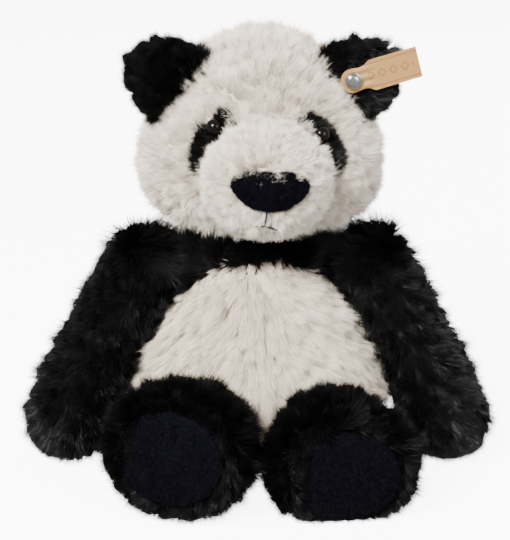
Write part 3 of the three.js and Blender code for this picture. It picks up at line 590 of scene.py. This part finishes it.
# Darker roots and a larger tuft-shade value than the head's pile: stronger painted shade deep in the belly
# pile and between its tufts.
belly_fibre = fibre_finish("belly_fibre", (0.34, 0.255, 0.165), (0.95, 0.865, 0.75), 0.42, 0.8, 0.1, 0.25)
pile("belly_pile", torso_whole, "body", belly_fibre, 185000, 0.0125, 0.00042, belly_comb,
     lift=0.34, tuft=0.0048, draw_in=0.9, stray=0.2, where=belly_front, long_at=belly_length, seed=11)
pile("back_pile", torso_whole, "body", cream_fibre, 125000, 0.011, 0.00052, belly_comb,
     lift=0.36, tuft=0.007, draw_in=0.65, stray=0.3, where=belly_behind, long_at=belly_length, seed=12)
pile("yoke_pile", torso_whole, "body", black_fibre, 130000, 0.0095, 0.00055, yoke_comb,
     lift=0.45, tuft=0.006, draw_in=0.5, stray=0.34, where=yoke_cover, long_at=yoke_length, seed=13)
bpy.data.objects.remove(torso_whole)

# ---- head ----
# Two cheeks, a gusset over the forehead and two panels behind make an egg of cream plush. Its pile
# is shorter than the belly's, and is brushed away from the nose, then down behind.
HEAD_PANELS = ["cheek_left", "cheek_right", "forehead_gusset", "head_back_left", "head_back_right"]
head_skin = sewn("head_skin", HEAD_PANELS + ["head_stuffing"], 0.0045, 10)
stuffed(head_skin, 3.0, 0.003, 0.002)
cover(head_skin, "head", "cream_plush", shaded_cream_backing, 0.85, *HEAD_PANELS)
nose_middle = box_middle("nose_pad")
head_middle = box_middle("head_stuffing")
FACE_ENDS_Y = head_middle[1] + 0.004


def head_comb(points, out):
    away = unit(points - nose_middle)
    behind = np.clip((points[:, 1:2] - head_middle[1] + 0.01) / 0.03, 0, 1)
    return away * (1 - behind) + np.array([0, 0.25, -1]) * behind


def eye_clear(points):
    """Pile is clipped away where the eye patches are sewn on."""
    kept = np.ones(len(points))
    for patch in PATCH_PLANES:
        kept *= outside_patch(points, patch)
    return kept


def patch_plane(word):
    """Middle, long way, short way and half sizes of an eye patch, from its CAD solid."""
    points = points_of(frame["nodes"]["eye_patch_" + word])
    middle = (points.max(0) + points.min(0)) / 2
    ways = np.linalg.eigh(np.cov((points - points.mean(0)).T))[1]
    long_way, short_way = ways[:, 2], ways[:, 1]
    half_long = np.abs((points - middle) @ long_way).max()
    half_short = np.abs((points - middle) @ short_way).max()
    return middle, long_way, short_way, half_long, half_short


def outside_patch(points, patch):
    middle, long_way, short_way, half_long, half_short = patch
    near = points - middle
    reach = ((near @ long_way) / half_long) ** 2 + ((near @ short_way) / half_short) ** 2
    return ((reach > 0.8) | (np.linalg.norm(near, axis=1) > 0.04)).astype(float)


PATCH_PLANES = [patch_plane("right"), patch_plane("left")]
EYE_PLACES = [box_middle("eye_right"), box_middle("eye_left")]


def trimmed_by_eyes(points, over=0.006):
    """Pile is cut short round each eye, so that the dome shows."""
    kept = np.ones(len(points))
    for place in EYE_PLACES:
        apart = np.linalg.norm((points - place) * (1, 0.6, 1), axis=1)
        kept = np.minimum(kept, np.clip((apart - 0.0048) / over, 0.15, 1))
    return kept


def face_side(points):
    return eye_clear(points) * (points[:, 1] < FACE_ENDS_Y)


def head_behind(points):
    return (points[:, 1] >= FACE_ENDS_Y).astype(float)


pile("face_pile", head_skin, "head", cream_fibre, 190000, 0.0085, 0.00042, head_comb,
     lift=0.56, tuft=0.0048, draw_in=0.62, stray=0.38, where=face_side, long_at=trimmed_by_eyes, seed=21)
pile("head_back_pile", head_skin, "head", cream_fibre, 130000, 0.0085, 0.00052, head_comb,
     lift=0.48, tuft=0.005, draw_in=0.6, stray=0.34, where=head_behind, seed=22)

# ---- muzzle ----
# A round cushion of the same cream plush, sheared shorter, sewn to the front of the face. The pile
# parts at the nose and runs back over the cushion.
muzzle_skin = sewn("muzzle_skin", ["muzzle_cover", "muzzle_stuffing"], 0.004, 6)
stuffed(muzzle_skin, 2.0, 0.002, 0.001)
cover(muzzle_skin, "head", "cream_plush", shaded_cream_backing, 0.9, "muzzle_cover", "muzzle_stuffing")


def muzzle_comb(points, out):
    """Away from the nose, but forward over its upper edge."""
    near = points - nose_middle
    away = unit(near)
    over = np.clip(1 - np.hypot(near[:, 0] / 0.022, (near[:, 2] - 0.010) / 0.0045), 0, 1)[:, None] * 1.5
    return away + np.array([0, 0.2, -0.15]) + over * np.array([0, -0.5, -1.0])


def muzzle_free(points):
    """Not under the nose, and not where the muzzle goes into the face."""
    near = points - nose_middle
    under = (near[:, 0] / 0.0205) ** 2 + ((near[:, 2] + 0.0012) / 0.0088) ** 2 < 1
    return ((~under) | (points[:, 1] > nose_middle[1] + 0.012)).astype(float)


pile("muzzle_pile", muzzle_skin, "head", cream_fibre, 120000, 0.0056, 0.00038, muzzle_comb,
     lift=0.48, tuft=0.0036, draw_in=0.5, stray=0.28, where=muzzle_free, long_at=trimmed_by_eyes, seed=31)


# ---- nose ----
# An almond of black velour over a little stuffing, hand-sewn to the end of the muzzle.
# The darker root colour of the nap is painted shade.
velour_fibre = fibre_finish("velour_fibre", (0.001, 0.001, 0.002), (0.0026, 0.0022, 0.005), 0.8, 0.6,
                            0.0, 0.06)
velour_cloth = cloth_finish("velour_cloth", (0.001, 0.001, 0.002), (0.004, 0.0038, 0.007), 1600, 0.0003,
                            roughness=0.9, sheen=0.0, specular=0.03)
nose_skin = sewn("nose_skin", ["nose_pad"], 0.0011, 8)
applied(nose_skin, "DISPLACE", strength=0.0006, mid_level=0.0)
applied(nose_skin, "SUBSURF", levels=1, render_levels=1)
only(nose_skin)
bpy.ops.object.shade_smooth()
cover(nose_skin, "head", "velour", velour_cloth, 0.8, "nose_pad")
pile("nose_nap", nose_skin, "head", velour_fibre, 24000, 0.0014, 0.00026,
     lambda points, out: np.tile([0.0, 0.0, -1.0], (len(points), 1)),
     lift=0.65, tuft=0.0015, draw_in=0.3, stray=0.3, seed=41)


# ---- mouth ----
# Black embroidery thread: one stitch down from the nose, and two across that make the lip.
def on_skin(skin, place, way, lift):
    """The place where a line from outside meets a skin, raised a little."""
    hit, at, normal, _ = skin.ray_cast(Vector(place), Vector(way))
    return at + normal * lift if hit else Vector(place)


def thread(name, ends, radius, finish):
    """A round thread laid through each list of places."""
    curve = bpy.data.curves.new(name, "CURVE")
    curve.dimensions = "3D"
    curve.bevel_depth = radius
    curve.bevel_resolution = 3
    for places in ends:
        line = curve.splines.new("POLY")
        line.points.add(len(places) - 1)
        for point, place in zip(line.points, places):
            point.co = (*place, 1)
    curve.use_fill_caps = True
    piece = bpy.data.objects.new(name, curve)
    bpy.context.scene.collection.objects.link(piece)
    only(piece)
    bpy.ops.object.convert(target="MESH")
    bpy.ops.object.shade_smooth()
    piece = bpy.context.object
    piece.data.materials.append(finish)
    return piece


black_thread = cloth_finish("black_thread", (0.006, 0.006, 0.006), (0.02, 0.02, 0.02), 3000, 0.0002, 0.6)
stitch_low, stitch_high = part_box("mouth_stitch")
stitch_middle = (stitch_low.x + stitch_high.x) / 2
STITCH_LIFT = 0.0036
THREAD_RADIUS = 0.0006


def stitched(start, end, sag=0.0):
    places = []
    for k in range(9):
        share = k / 8
        x = start[0] + (end[0] - start[0]) * share
        z = start[1] + (end[1] - start[1]) * share - sag * math.sin(math.pi * share)
        places.append(on_skin(muzzle_skin, (x, stitch_low.y - 0.03, z), (0, 1, 0), STITCH_LIFT))
    return places


lip = stitch_low.z + 0.0075
mouth = thread("mouth_thread", [
    stitched((stitch_middle, stitch_high.z + 0.001), (stitch_middle - 0.0012, lip)),
    stitched((stitch_middle - 0.0012, lip), (stitch_middle - 0.0062, lip + 0.0002), 0.0004),
    stitched((stitch_middle - 0.0012, lip), (stitch_middle + 0.0052, lip - 0.0026), -0.0002),
], THREAD_RADIUS, black_thread)
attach(mouth, "head")
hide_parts("mouth_stitch")


# ---- eye patches ----
# Slanted ovals of short black plush, sewn on the face beside the muzzle.
def patch_comb(points, out):
    away = points - nose_middle
    return unit(away) + np.array([0, 0, 0.2])


for seed, word in ((51, "right"), (52, "left")):
    node = "eye_patch_" + word
    patch = sewn("eye_patch_skin_" + word, [node], 0.0012, 4)
    only(patch)
    bpy.ops.object.shade_smooth()
    cover(patch, "head", "black_plush", black_backing, 0.3, node)
    pile("eye_patch_pile_" + word, patch, "head", black_fibre, 18000, 0.0052, 0.00042,
         patch_comb, lift=0.5, tuft=0.003, draw_in=0.35, stray=0.28,
         long_at=lambda points: trimmed_by_eyes(points, 0.0025), seed=seed)


# ---- eyes ----
# Black glossy safety eyes: a moulded dome on a plain shank, pushed through the cloth and held by a
# nylon lock washer behind it.
def turned(name, profile, steps=48):
    """A round solid: a profile of (radius, height) points spun about Z."""
    mesh = bpy.data.meshes.new(name)
    mesh.from_pydata([(radius, 0, height) for radius, height in profile],
                     [(k, k + 1) for k in range(len(profile) - 1)], [])
    piece = bpy.data.objects.new(name, mesh)
    bpy.context.scene.collection.objects.link(piece)
    only(piece)
    bpy.ops.object.mode_set(mode="EDIT")
    bpy.ops.mesh.select_all(action="SELECT")
    bpy.ops.mesh.spin(steps=steps, angle=2 * math.pi, center=(0, 0, 0), axis=(0, 0, 1))
    bpy.ops.mesh.select_all(action="SELECT")
    bpy.ops.mesh.remove_doubles(threshold=1e-6)
    bpy.ops.mesh.normals_make_consistent(inside=False)
    bpy.ops.object.mode_set(mode="OBJECT")
    bpy.ops.object.shade_smooth_by_angle(angle=math.radians(35))
    return piece


def set_along(piece, place, way):
    """Puts a round piece at a place with its Z along a way, with its place in its mesh."""
    turn = Vector(way).to_track_quat("Z", "Y").to_matrix().to_4x4()
    piece.data.transform(Matrix.Translation(Vector(place)) @ turn)


def dome(radius, height, start, points=10):
    """Points of a dome's profile, from its rim to the axis."""
    return [(radius * math.cos(k * math.pi / 2 / points), start + height * math.sin(k * math.pi / 2 / points))
            for k in range(points + 1)]


def speckled_finish(name, dark, light, scale, roughness, metallic=0.0, specular=0.5, depth=0.00002):
    """A moulded or metal surface with fine marks that also change its gloss."""
    material = bpy.data.materials.new(name)
    material.use_nodes = True
    tree = material.node_tree
    shader = tree.nodes["Principled BSDF"]
    shader.inputs["Metallic"].default_value = metallic
    shader.inputs["Specular IOR Level"].default_value = specular
    grain = tree.nodes.new("ShaderNodeGroup")
    grain.node_tree = CLOTH_GRAIN
    grain.inputs["Dark"].default_value = opaque(dark)
    grain.inputs["Light"].default_value = opaque(light)
    grain.inputs["Scale"].default_value = scale
    gloss = tree.nodes.new("ShaderNodeMapRange")
    gloss.inputs["To Min"].default_value = roughness * 0.7
    gloss.inputs["To Max"].default_value = roughness * 1.4
    bump = tree.nodes.new("ShaderNodeBump")
    bump.inputs["Distance"].default_value = depth
    bump.inputs["Strength"].default_value = 0.3
    tree.links.new(grain.outputs["Color"], shader.inputs["Base Color"])
    tree.links.new(grain.outputs["Height"], gloss.inputs["Value"])
    tree.links.new(gloss.outputs["Result"], shader.inputs["Roughness"])
    tree.links.new(grain.outputs["Height"], bump.inputs["Height"])
    tree.links.new(bump.outputs["Normal"], shader.inputs["Normal"])
    return material


eye_gloss = speckled_finish("eye_gloss", (0.001, 0.001, 0.001), (0.004, 0.003, 0.002), 400, 0.05,
                            specular=0.16)
nylon = speckled_finish("nylon", (0.72, 0.71, 0.66), (0.86, 0.85, 0.81), 900, 0.45)
EYE_RADIUS = 4.6 * MM
EYE_PROUD = 0.0018
for word in ("right", "left"):
    eye_middle, washer_middle = box_middle("eye_" + word), box_middle("eye_washer_" + word)
    outward = Vector(eye_middle - washer_middle).normalized()
    corners = points_of(frame["nodes"]["eye_" + word])
    top = max(float((point - eye_middle) @ np.array(outward)) for point in corners)
    eye = turned("eye_dome_" + word, [
        (0, -10 * MM), (1.6 * MM, -10 * MM), (1.8 * MM, -9.4 * MM), (1.8 * MM, -4.2 * MM),
        (EYE_RADIUS, -4.2 * MM), (EYE_RADIUS * 1.02, -3.9 * MM), (EYE_RADIUS * 1.02, -3.5 * MM),
    ] + dome(EYE_RADIUS, 3.8 * MM, -3.4 * MM))
    set_along(eye, Vector(eye_middle) + outward * (top + EYE_PROUD), outward)
    eye.data.materials.append(eye_gloss)
    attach(eye, "head")
    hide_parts("eye_" + word)
    washer = turned("lock_washer_" + word, [
        (2.2 * MM, -0.8 * MM), (5.6 * MM, -0.8 * MM), (6 * MM, -0.5 * MM), (6 * MM, 0.4 * MM),
        (5.6 * MM, 0.8 * MM), (3.2 * MM, 0.5 * MM), (2.2 * MM, 0.8 * MM), (2.2 * MM, -0.8 * MM)])
    set_along(washer, washer_middle, outward)
    washer.data.materials.append(nylon)
    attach(washer, "head")
    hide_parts("eye_washer_" + word)

# ---- ears ----
# Each ear is two half rounds of black plush, sewn face to face and turned, with shaggy pile.
RIVET_PLACE = box_middle("tag_rivet")
RIBBON_LINE = unit((box_middle("tag_ribbon") - RIVET_PLACE)[None])[0]
EAR_FACE = (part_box("ear_left_front")[0].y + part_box("ear_left_back")[1].y) / 2
for seed, word in ((61, "right"), (62, "left")):
    nodes = [f"ear_{word}_front", f"ear_{word}_back"]
    ear_skin = sewn("ear_skin_" + word, nodes, 0.0025, 5)
    stuffed(ear_skin, 1.0, 0.001, 0.0004)
    cover(ear_skin, "ear_" + word, "black_plush", black_backing, 0.4, *nodes)
    low, high = whole_box(nodes)
    ear_root = np.array([head_middle[0], (low[1] + high[1]) / 2, head_middle[2] + 0.012])

    def ear_comb(points, out, foot=ear_root):
        return unit(points - foot)

    def ear_length(points, pressed=(word == "left")):
        """Short where the rivet and its ribbon press the pile down."""
        if not pressed:
            return np.ones(len(points))
        near = points - RIVET_PLACE
        along = near @ RIBBON_LINE
        beside = np.linalg.norm(near - np.clip(along, 0, 0.045)[:, None] * RIBBON_LINE, axis=1)
        return np.where((beside < 0.0125) & (points[:, 1] < EAR_FACE), 0.3, 1.0)

    pile("ear_pile_" + word, ear_skin, "ear_" + word, black_fibre, 60000, 0.0078, 0.0005,
         ear_comb, lift=0.45, tuft=0.0042, draw_in=0.6, stray=0.32, long_at=ear_length, seed=seed)

# ---- arms ----
# Long black tubes of plush, each an outer and an inner panel, sewn into the armholes of the yoke.
for seed, word in ((71, "right"), (72, "left")):
    nodes = [f"arm_{word}_outer", f"arm_{word}_inner"]
    arm_skin = sewn("arm_skin_" + word, nodes + [f"arm_{word}_stuffing"], 0.0045, 8)
    stuffed(arm_skin, 3.0, 0.0025, 0.0015)
    cover(arm_skin, "arm_" + word, "black_plush", black_backing, 0.7, *nodes)
    shoulder = box_middle(f"shoulder_{word}_stuffing")
    low, high = whole_box(nodes)
    hand = np.array([high[0] - 0.03 if word == "left" else low[0] + 0.03, low[1] + 0.02, low[2] + 0.02])
    arm_way = unit((hand - shoulder)[None])[0]

    def arm_comb(points, out, way=arm_way, side=1 if word == "left" else -1):
        inner = np.clip((0.092 - np.abs(points[:, :1])) / 0.035, 0, 1)
        top = np.clip((points[:, 2:3] - 0.112) / 0.02, 0, 1) * inner
        return way + np.array([side * 0.2, 0, 0]) - top * np.array([side * 1.9, 0, -1.3])

    def arm_length(points):
        """Longer over the top of the shoulder."""
        inner = np.clip((0.088 - np.abs(points[:, 0])) / 0.03, 0, 1)
        return 1 + np.clip((points[:, 2] - 0.112) / 0.015, 0, 1) * (0.25 + 0.85 * inner)

    pile("arm_pile_" + word, arm_skin, "arm_" + word, black_fibre, 150000, 0.0088, 0.0005,
         arm_comb, lift=0.44, tuft=0.0042, draw_in=0.6, stray=0.28, long_at=arm_length, seed=seed)

# ---- legs and soles ----
# Short black legs that end in big round feet. The sole is an oval of smooth velour, gathered in by
# a seam all round, and the plush stands out past it.
for seed, word in ((81, "right"), (82, "left")):
    nodes = [f"leg_{word}_upper", f"leg_{word}_lower"]
    sole_node = "sole_" + word
    leg_skin = sewn("leg_skin_" + word, nodes + [sole_node, f"leg_{word}_stuffing"], 0.0045, 6)
    stuffed(leg_skin, 3.0, 0.0025, 0.001)
    hip = box_middle(f"hip_{word}_stuffing")
    sole_middle = box_middle(sole_node)
    leg_way = unit((sole_middle - hip)[None])[0]
    sole_low, sole_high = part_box(sole_node)
    sole_half = np.array([(sole_high.x - sole_low.x) / 2, (sole_high.z - sole_low.z) / 2])
    points = keep_off_floor(points_of(leg_skin), 0.0006)
    beyond = np.maximum((points - sole_middle) @ leg_way + 0.001, 0)
    set_points(leg_skin, points - beyond[:, None] * leg_way)
    cover(leg_skin, "leg_" + word, "black_plush", black_backing, 0.75, *nodes)

    sole_skin = sewn("sole_skin_" + word, [sole_node], 0.0014, 6)
    applied(sole_skin, "DISPLACE", strength=0.0004, mid_level=0.0)
    points = points_of(sole_skin)
    from_sole = points - sole_middle
    across = (from_sole[:, 0] / sole_half[0]) ** 2 + (from_sole[:, 2] / sole_half[1]) ** 2
    crown = 0.0035 * np.clip(1 - across, 0, 1) ** 0.5
    points = points + crown[:, None] * leg_way * ((from_sole @ leg_way) > -0.001)[:, None]
    set_points(sole_skin, keep_off_floor(points, 0.0008))
    only(sole_skin)
    bpy.ops.object.shade_smooth()
    cover(sole_skin, "leg_" + word, "velour", velour_cloth, 0.5, sole_node)
    pile("sole_nap_" + word, sole_skin, "leg_" + word, velour_fibre, 34000, 0.0015, 0.00032,
         lambda points, out: np.tile([0.2, 0.0, -1.0], (len(points), 1)),
         lift=0.6, tuft=0.0018, draw_in=0.3, stray=0.3, seed=seed + 10)

    def leg_comb(points, out, start=hip, way=leg_way):
        from_line = (points - start) - ((points - start) @ way)[:, None] * way
        return way * 0.5 + unit(from_line) * 0.3 + np.array([0, 0, -0.1])

    def not_sole(points, middle=sole_middle, way=leg_way, half=sole_half):
        near = points - middle
        inside = (near[:, 0] / half[0]) ** 2 + (near[:, 2] / half[1]) ** 2 < 0.92
        return (~(inside & (near @ way > -0.006))).astype(float)

    pile("leg_pile_" + word, leg_skin, "leg_" + word, black_fibre, 148000, 0.0095, 0.0005,
         leg_comb, lift=0.54, tuft=0.0046, draw_in=0.7, stray=0.34, where=not_sole, seed=seed)

# ---- tail ----
# A small cream pad sewn low on the back.
tail_skin = sewn("tail_skin", ["tail_cover", "tail_stuffing"], 0.0022, 5)
stuffed(tail_skin, 1.0, 0.001, 0.0005)
cover(tail_skin, "body", "cream_plush", shaded_cream_backing, 0.6, "tail_cover", "tail_stuffing")
pile("tail_pile", tail_skin, "body", cream_fibre, 34000, 0.008, 0.0005,
     lambda points, out: np.tile([0.0, 0.3, -1.0], (len(points), 1)),
     lift=0.45, tuft=0.0055, draw_in=0.5, stray=0.25, seed=91)

# ---- stuffing ----
# Carded polyester fibre fills the body, head and limbs. A twist of it sits in each joint, where the
# toy bends, and a cloth bag of plastic pellets weighs the seat down.
fibre_fill = cloth_finish("fibre_fill", (0.78, 0.77, 0.74), (0.93, 0.92, 0.9), 400, 0.0015, sheen=0.4)
pellet_cloth = cloth_finish("pellet_cloth", (0.6, 0.6, 0.58), (0.82, 0.82, 0.8), 260, 0.002)
STUFFING = {
    "body_stuffing": ("body", fibre_fill, "fibre_fill"),
    "pellet_bag": ("body", pellet_cloth, "pellets"),
    "head_stuffing": ("head", fibre_fill, "fibre_fill"),
    "neck_stuffing": ("neck", fibre_fill, "fibre_fill"),
}
for word in ("right", "left"):
    for limb, joint in (("arm", "shoulder"), ("leg", "hip")):
        for place in (limb, joint):
            STUFFING[f"{place}_{word}_stuffing"] = (f"{place}_{word}", fibre_fill, "fibre_fill")
for node, (body, finish, slot) in STUFFING.items():
    wad_name = node.replace("_stuffing", "").replace("_bag", "") + "_fill"
    at_bend = "shoulder" in node or "hip" in node or "neck" in node
    wad = sewn(wad_name, [node], 0.003 if at_bend else 0.006, 3)
    set_points(wad, points_of(wad) + 0.0004 * waves(points_of(wad), 0.006, 3))
    only(wad)
    bpy.ops.object.shade_smooth()
    cover(wad, body, slot, finish, 0.6, node)

# ---- ear rivet ----
# A two-part nickelled rivet: a domed cap in front, and a clinched ring behind the ear.
nickel = speckled_finish("nickel", (0.24, 0.235, 0.22), (0.42, 0.41, 0.39), 700, 0.24, metallic=1.0)
cap_middle, ring_middle = box_middle("tag_rivet"), box_middle("tag_rivet_washer")
cap_way = Vector(cap_middle - ring_middle).normalized()
cap_points = points_of(frame["nodes"]["tag_rivet"])
cap_top = max(float((point - cap_middle) @ np.array(cap_way)) for point in cap_points)
cap_front = Vector(cap_middle) + cap_way * cap_top
CAP_PROUD = 0.0034
rivet = turned("rivet_cap", [
    (0, -15.4 * MM), (1.5 * MM, -15.4 * MM), (1.5 * MM, -2.6 * MM), (4.4 * MM, -2.6 * MM),
    (5.1 * MM, -2.5 * MM), (5.25 * MM, -2.2 * MM), (5.1 * MM, -1.8 * MM),
    (4.5 * MM, -1.55 * MM), (4.2 * MM, -1.6 * MM),
] + dome(4.0 * MM, 1.5 * MM, -1.5 * MM))
set_along(rivet, cap_front + cap_way * CAP_PROUD, cap_way)
rivet.data.materials.append(nickel)
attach(rivet, "ear_left")
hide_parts("tag_rivet")
clinch = turned("rivet_ring", [
    (1.8 * MM, -0.6 * MM), (3.6 * MM, -0.6 * MM), (4.2 * MM, 0), (3.6 * MM, 0.6 * MM), (1.8 * MM, 0.6 * MM),
    (1.8 * MM, -0.6 * MM)])
set_along(clinch, ring_middle, cap_way)
clinch.data.materials.append(nickel)
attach(clinch, "ear_left")
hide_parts("tag_rivet_washer")

# ---- ear ribbon ----
# A short woven ribbon with a heat-cut end. It is gathered to a rounded tab under the rivet, and
# stands away from the ear to the toy's left.
ribbon_points = points_of(frame["nodes"]["tag_ribbon"])
from_cap = ribbon_points - np.array(cap_middle)
far_end = from_cap[np.linalg.norm(from_cap, axis=1) > 0.03].mean(0)
ribbon_way = (Vector(far_end) - cap_way * Vector(far_end).dot(cap_way)).normalized()
RIBBON_REACH = float((from_cap @ np.array(ribbon_way)).max())
ribbon_across = cap_way.cross(ribbon_way)
RIBBON_HALF = 9.5 * MM
TAB_RADIUS = 7.5 * MM
TAB_EDGE = TAB_RADIUS * 0.995
RIBBON_PROUD = 0.0026
ribbon_plane = float(np.mean((ribbon_points - np.array(cap_middle)) @ np.array(cap_way)))


def ribbon_half_width(along):
    if along < 0.2 * TAB_RADIUS:
        return math.sqrt(max(TAB_RADIUS ** 2 - along ** 2, 0))
    start, end = 0.2 * TAB_RADIUS, TAB_RADIUS * 1.6
    share = min((along - start) / (end - start), 1)
    pinch = 0.16 * math.sin(math.pi * share)
    return (TAB_RADIUS + (RIBBON_HALF - TAB_RADIUS) * share * share) * (1 - pinch)


RIBBON_STEPS = 44
RIBBON_LANES = 18
ribbon_mesh = bpy.data.meshes.new("ear_ribbon")
places, faces, flat_places = [], [], []
for i in range(RIBBON_STEPS + 1):
    share = i / RIBBON_STEPS
    along = -TAB_EDGE + (RIBBON_REACH + TAB_EDGE) * share
    half = max(ribbon_half_width(along), 0.2 * MM)
    for j in range(RIBBON_LANES + 1):
        across = (2 * j / RIBBON_LANES - 1) * half
        gather = max(0.0, 1 - abs(along - TAB_RADIUS) / (1.2 * TAB_RADIUS))
        wave = 0.5 * MM * gather * math.cos(math.pi * 3 * across / TAB_RADIUS)
        curl = 0.9 * MM * (max(along, 0) / RIBBON_REACH) ** 2 + 0.35 * MM * math.sin(90 * along + 0.6)
        place = Vector(cap_middle) + ribbon_way * along + ribbon_across * across
        place += cap_way * (ribbon_plane + RIBBON_PROUD + wave + curl)
        places.append(place)
        flat_places.append((along / RIBBON_REACH, 0.5 + across / (2 * RIBBON_HALF)))
for i in range(RIBBON_STEPS):
    for j in range(RIBBON_LANES):
        a = i * (RIBBON_LANES + 1) + j
        faces.append((a, a + RIBBON_LANES + 1, a + RIBBON_LANES + 2, a + 1))
ribbon_mesh.from_pydata(places, [], faces)
ribbon_uv = ribbon_mesh.uv_layers.new(name="OFBake")
for loop in ribbon_mesh.loops:
    along, across = flat_places[loop.vertex_index]
    ribbon_uv.data[loop.index].uv = (0.03 + 0.94 * (along + 0.3) / 1.3, 0.03 + 0.94 * across)
ribbon = bpy.data.objects.new("ear_ribbon", ribbon_mesh)
bpy.context.scene.collection.objects.link(ribbon)
applied(ribbon, "SOLIDIFY", thickness=0.0006, offset=0.0)
only(ribbon)
bpy.ops.object.shade_smooth_by_angle(angle=math.radians(40))


def ribbon_finish():
    """Tan weave with a darker woven line inside each edge and a row of small plain diamonds."""
    material = bpy.data.materials.new("woven_ribbon")
    material.use_nodes = True
    tree = material.node_tree
    link = tree.links.new
    shader = tree.nodes["Principled BSDF"]
    shader.inputs["Roughness"].default_value = 0.55
    shader.inputs["Sheen Weight"].default_value = 0.15
    place = tree.nodes.new("ShaderNodeUVMap")
    place.uv_map = "OFBake"
    apart = tree.nodes.new("ShaderNodeSeparateXYZ")
    link(place.outputs["UV"], apart.inputs[0])

    def step(operation, a, b=None, c=None):
        node = tree.nodes.new("ShaderNodeMath")
        node.operation = operation
        for socket, value in zip(node.inputs, (a, b, c)):
            if isinstance(value, (int, float)):
                socket.default_value = value
            elif value is not None:
                link(value, socket)
        return node.outputs[0]

    weft = step("SINE", step("MULTIPLY", apart.outputs["X"], 330))
    warp = step("SINE", step("MULTIPLY", apart.outputs["Y"], 150))
    weave = step("MULTIPLY", weft, warp)
    from_middle = step("ABSOLUTE", step("SUBTRACT", apart.outputs["Y"], 0.5))
    edge_line = step("LESS_THAN", step("ABSOLUTE", step("SUBTRACT", from_middle, 0.36)), 0.014)
    along = step("SUBTRACT", step("FRACT", step("MULTIPLY", apart.outputs["X"], 8.0)), 0.5)
    diamond = step("ADD", step("MULTIPLY", step("ABSOLUTE", along), 0.36), from_middle)
    ring = step("LESS_THAN", step("ABSOLUTE", step("SUBTRACT", diamond, 0.12)), 0.02)
    in_row = step("LESS_THAN", step("ABSOLUTE", step("SUBTRACT", apart.outputs["X"], 0.66)), 0.25)
    row = step("MULTIPLY", ring, in_row)
    marks = step("MAXIMUM", edge_line, row)
    base = tree.nodes.new("ShaderNodeMix")
    base.data_type = "RGBA"
    base.inputs["A"].default_value = (0.22, 0.11, 0.026, 1)
    base.inputs["B"].default_value = (0.42, 0.24, 0.07, 1)
    link(step("MULTIPLY_ADD", weave, 0.35, 0.55), base.inputs["Factor"])
    printed = tree.nodes.new("ShaderNodeMix")
    printed.data_type = "RGBA"
    printed.inputs["B"].default_value = (0.22, 0.03, 0.012, 1)
    link(base.outputs["Result"], printed.inputs["A"])
    link(step("MULTIPLY", marks, 0.85), printed.inputs["Factor"])
    link(printed.outputs["Result"], shader.inputs["Base Color"])
    bump = tree.nodes.new("ShaderNodeBump")
    bump.inputs["Distance"].default_value = 0.0001
    bump.inputs["Strength"].default_value = 0.5
    link(weave, bump.inputs["Height"])
    link(bump.outputs["Normal"], shader.inputs["Normal"])
    return material


ribbon.data.materials.append(ribbon_finish())
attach(ribbon, "ear_tag")
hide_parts("tag_ribbon")

# ---- last update of the scene ----
bpy.context.view_layer.update()
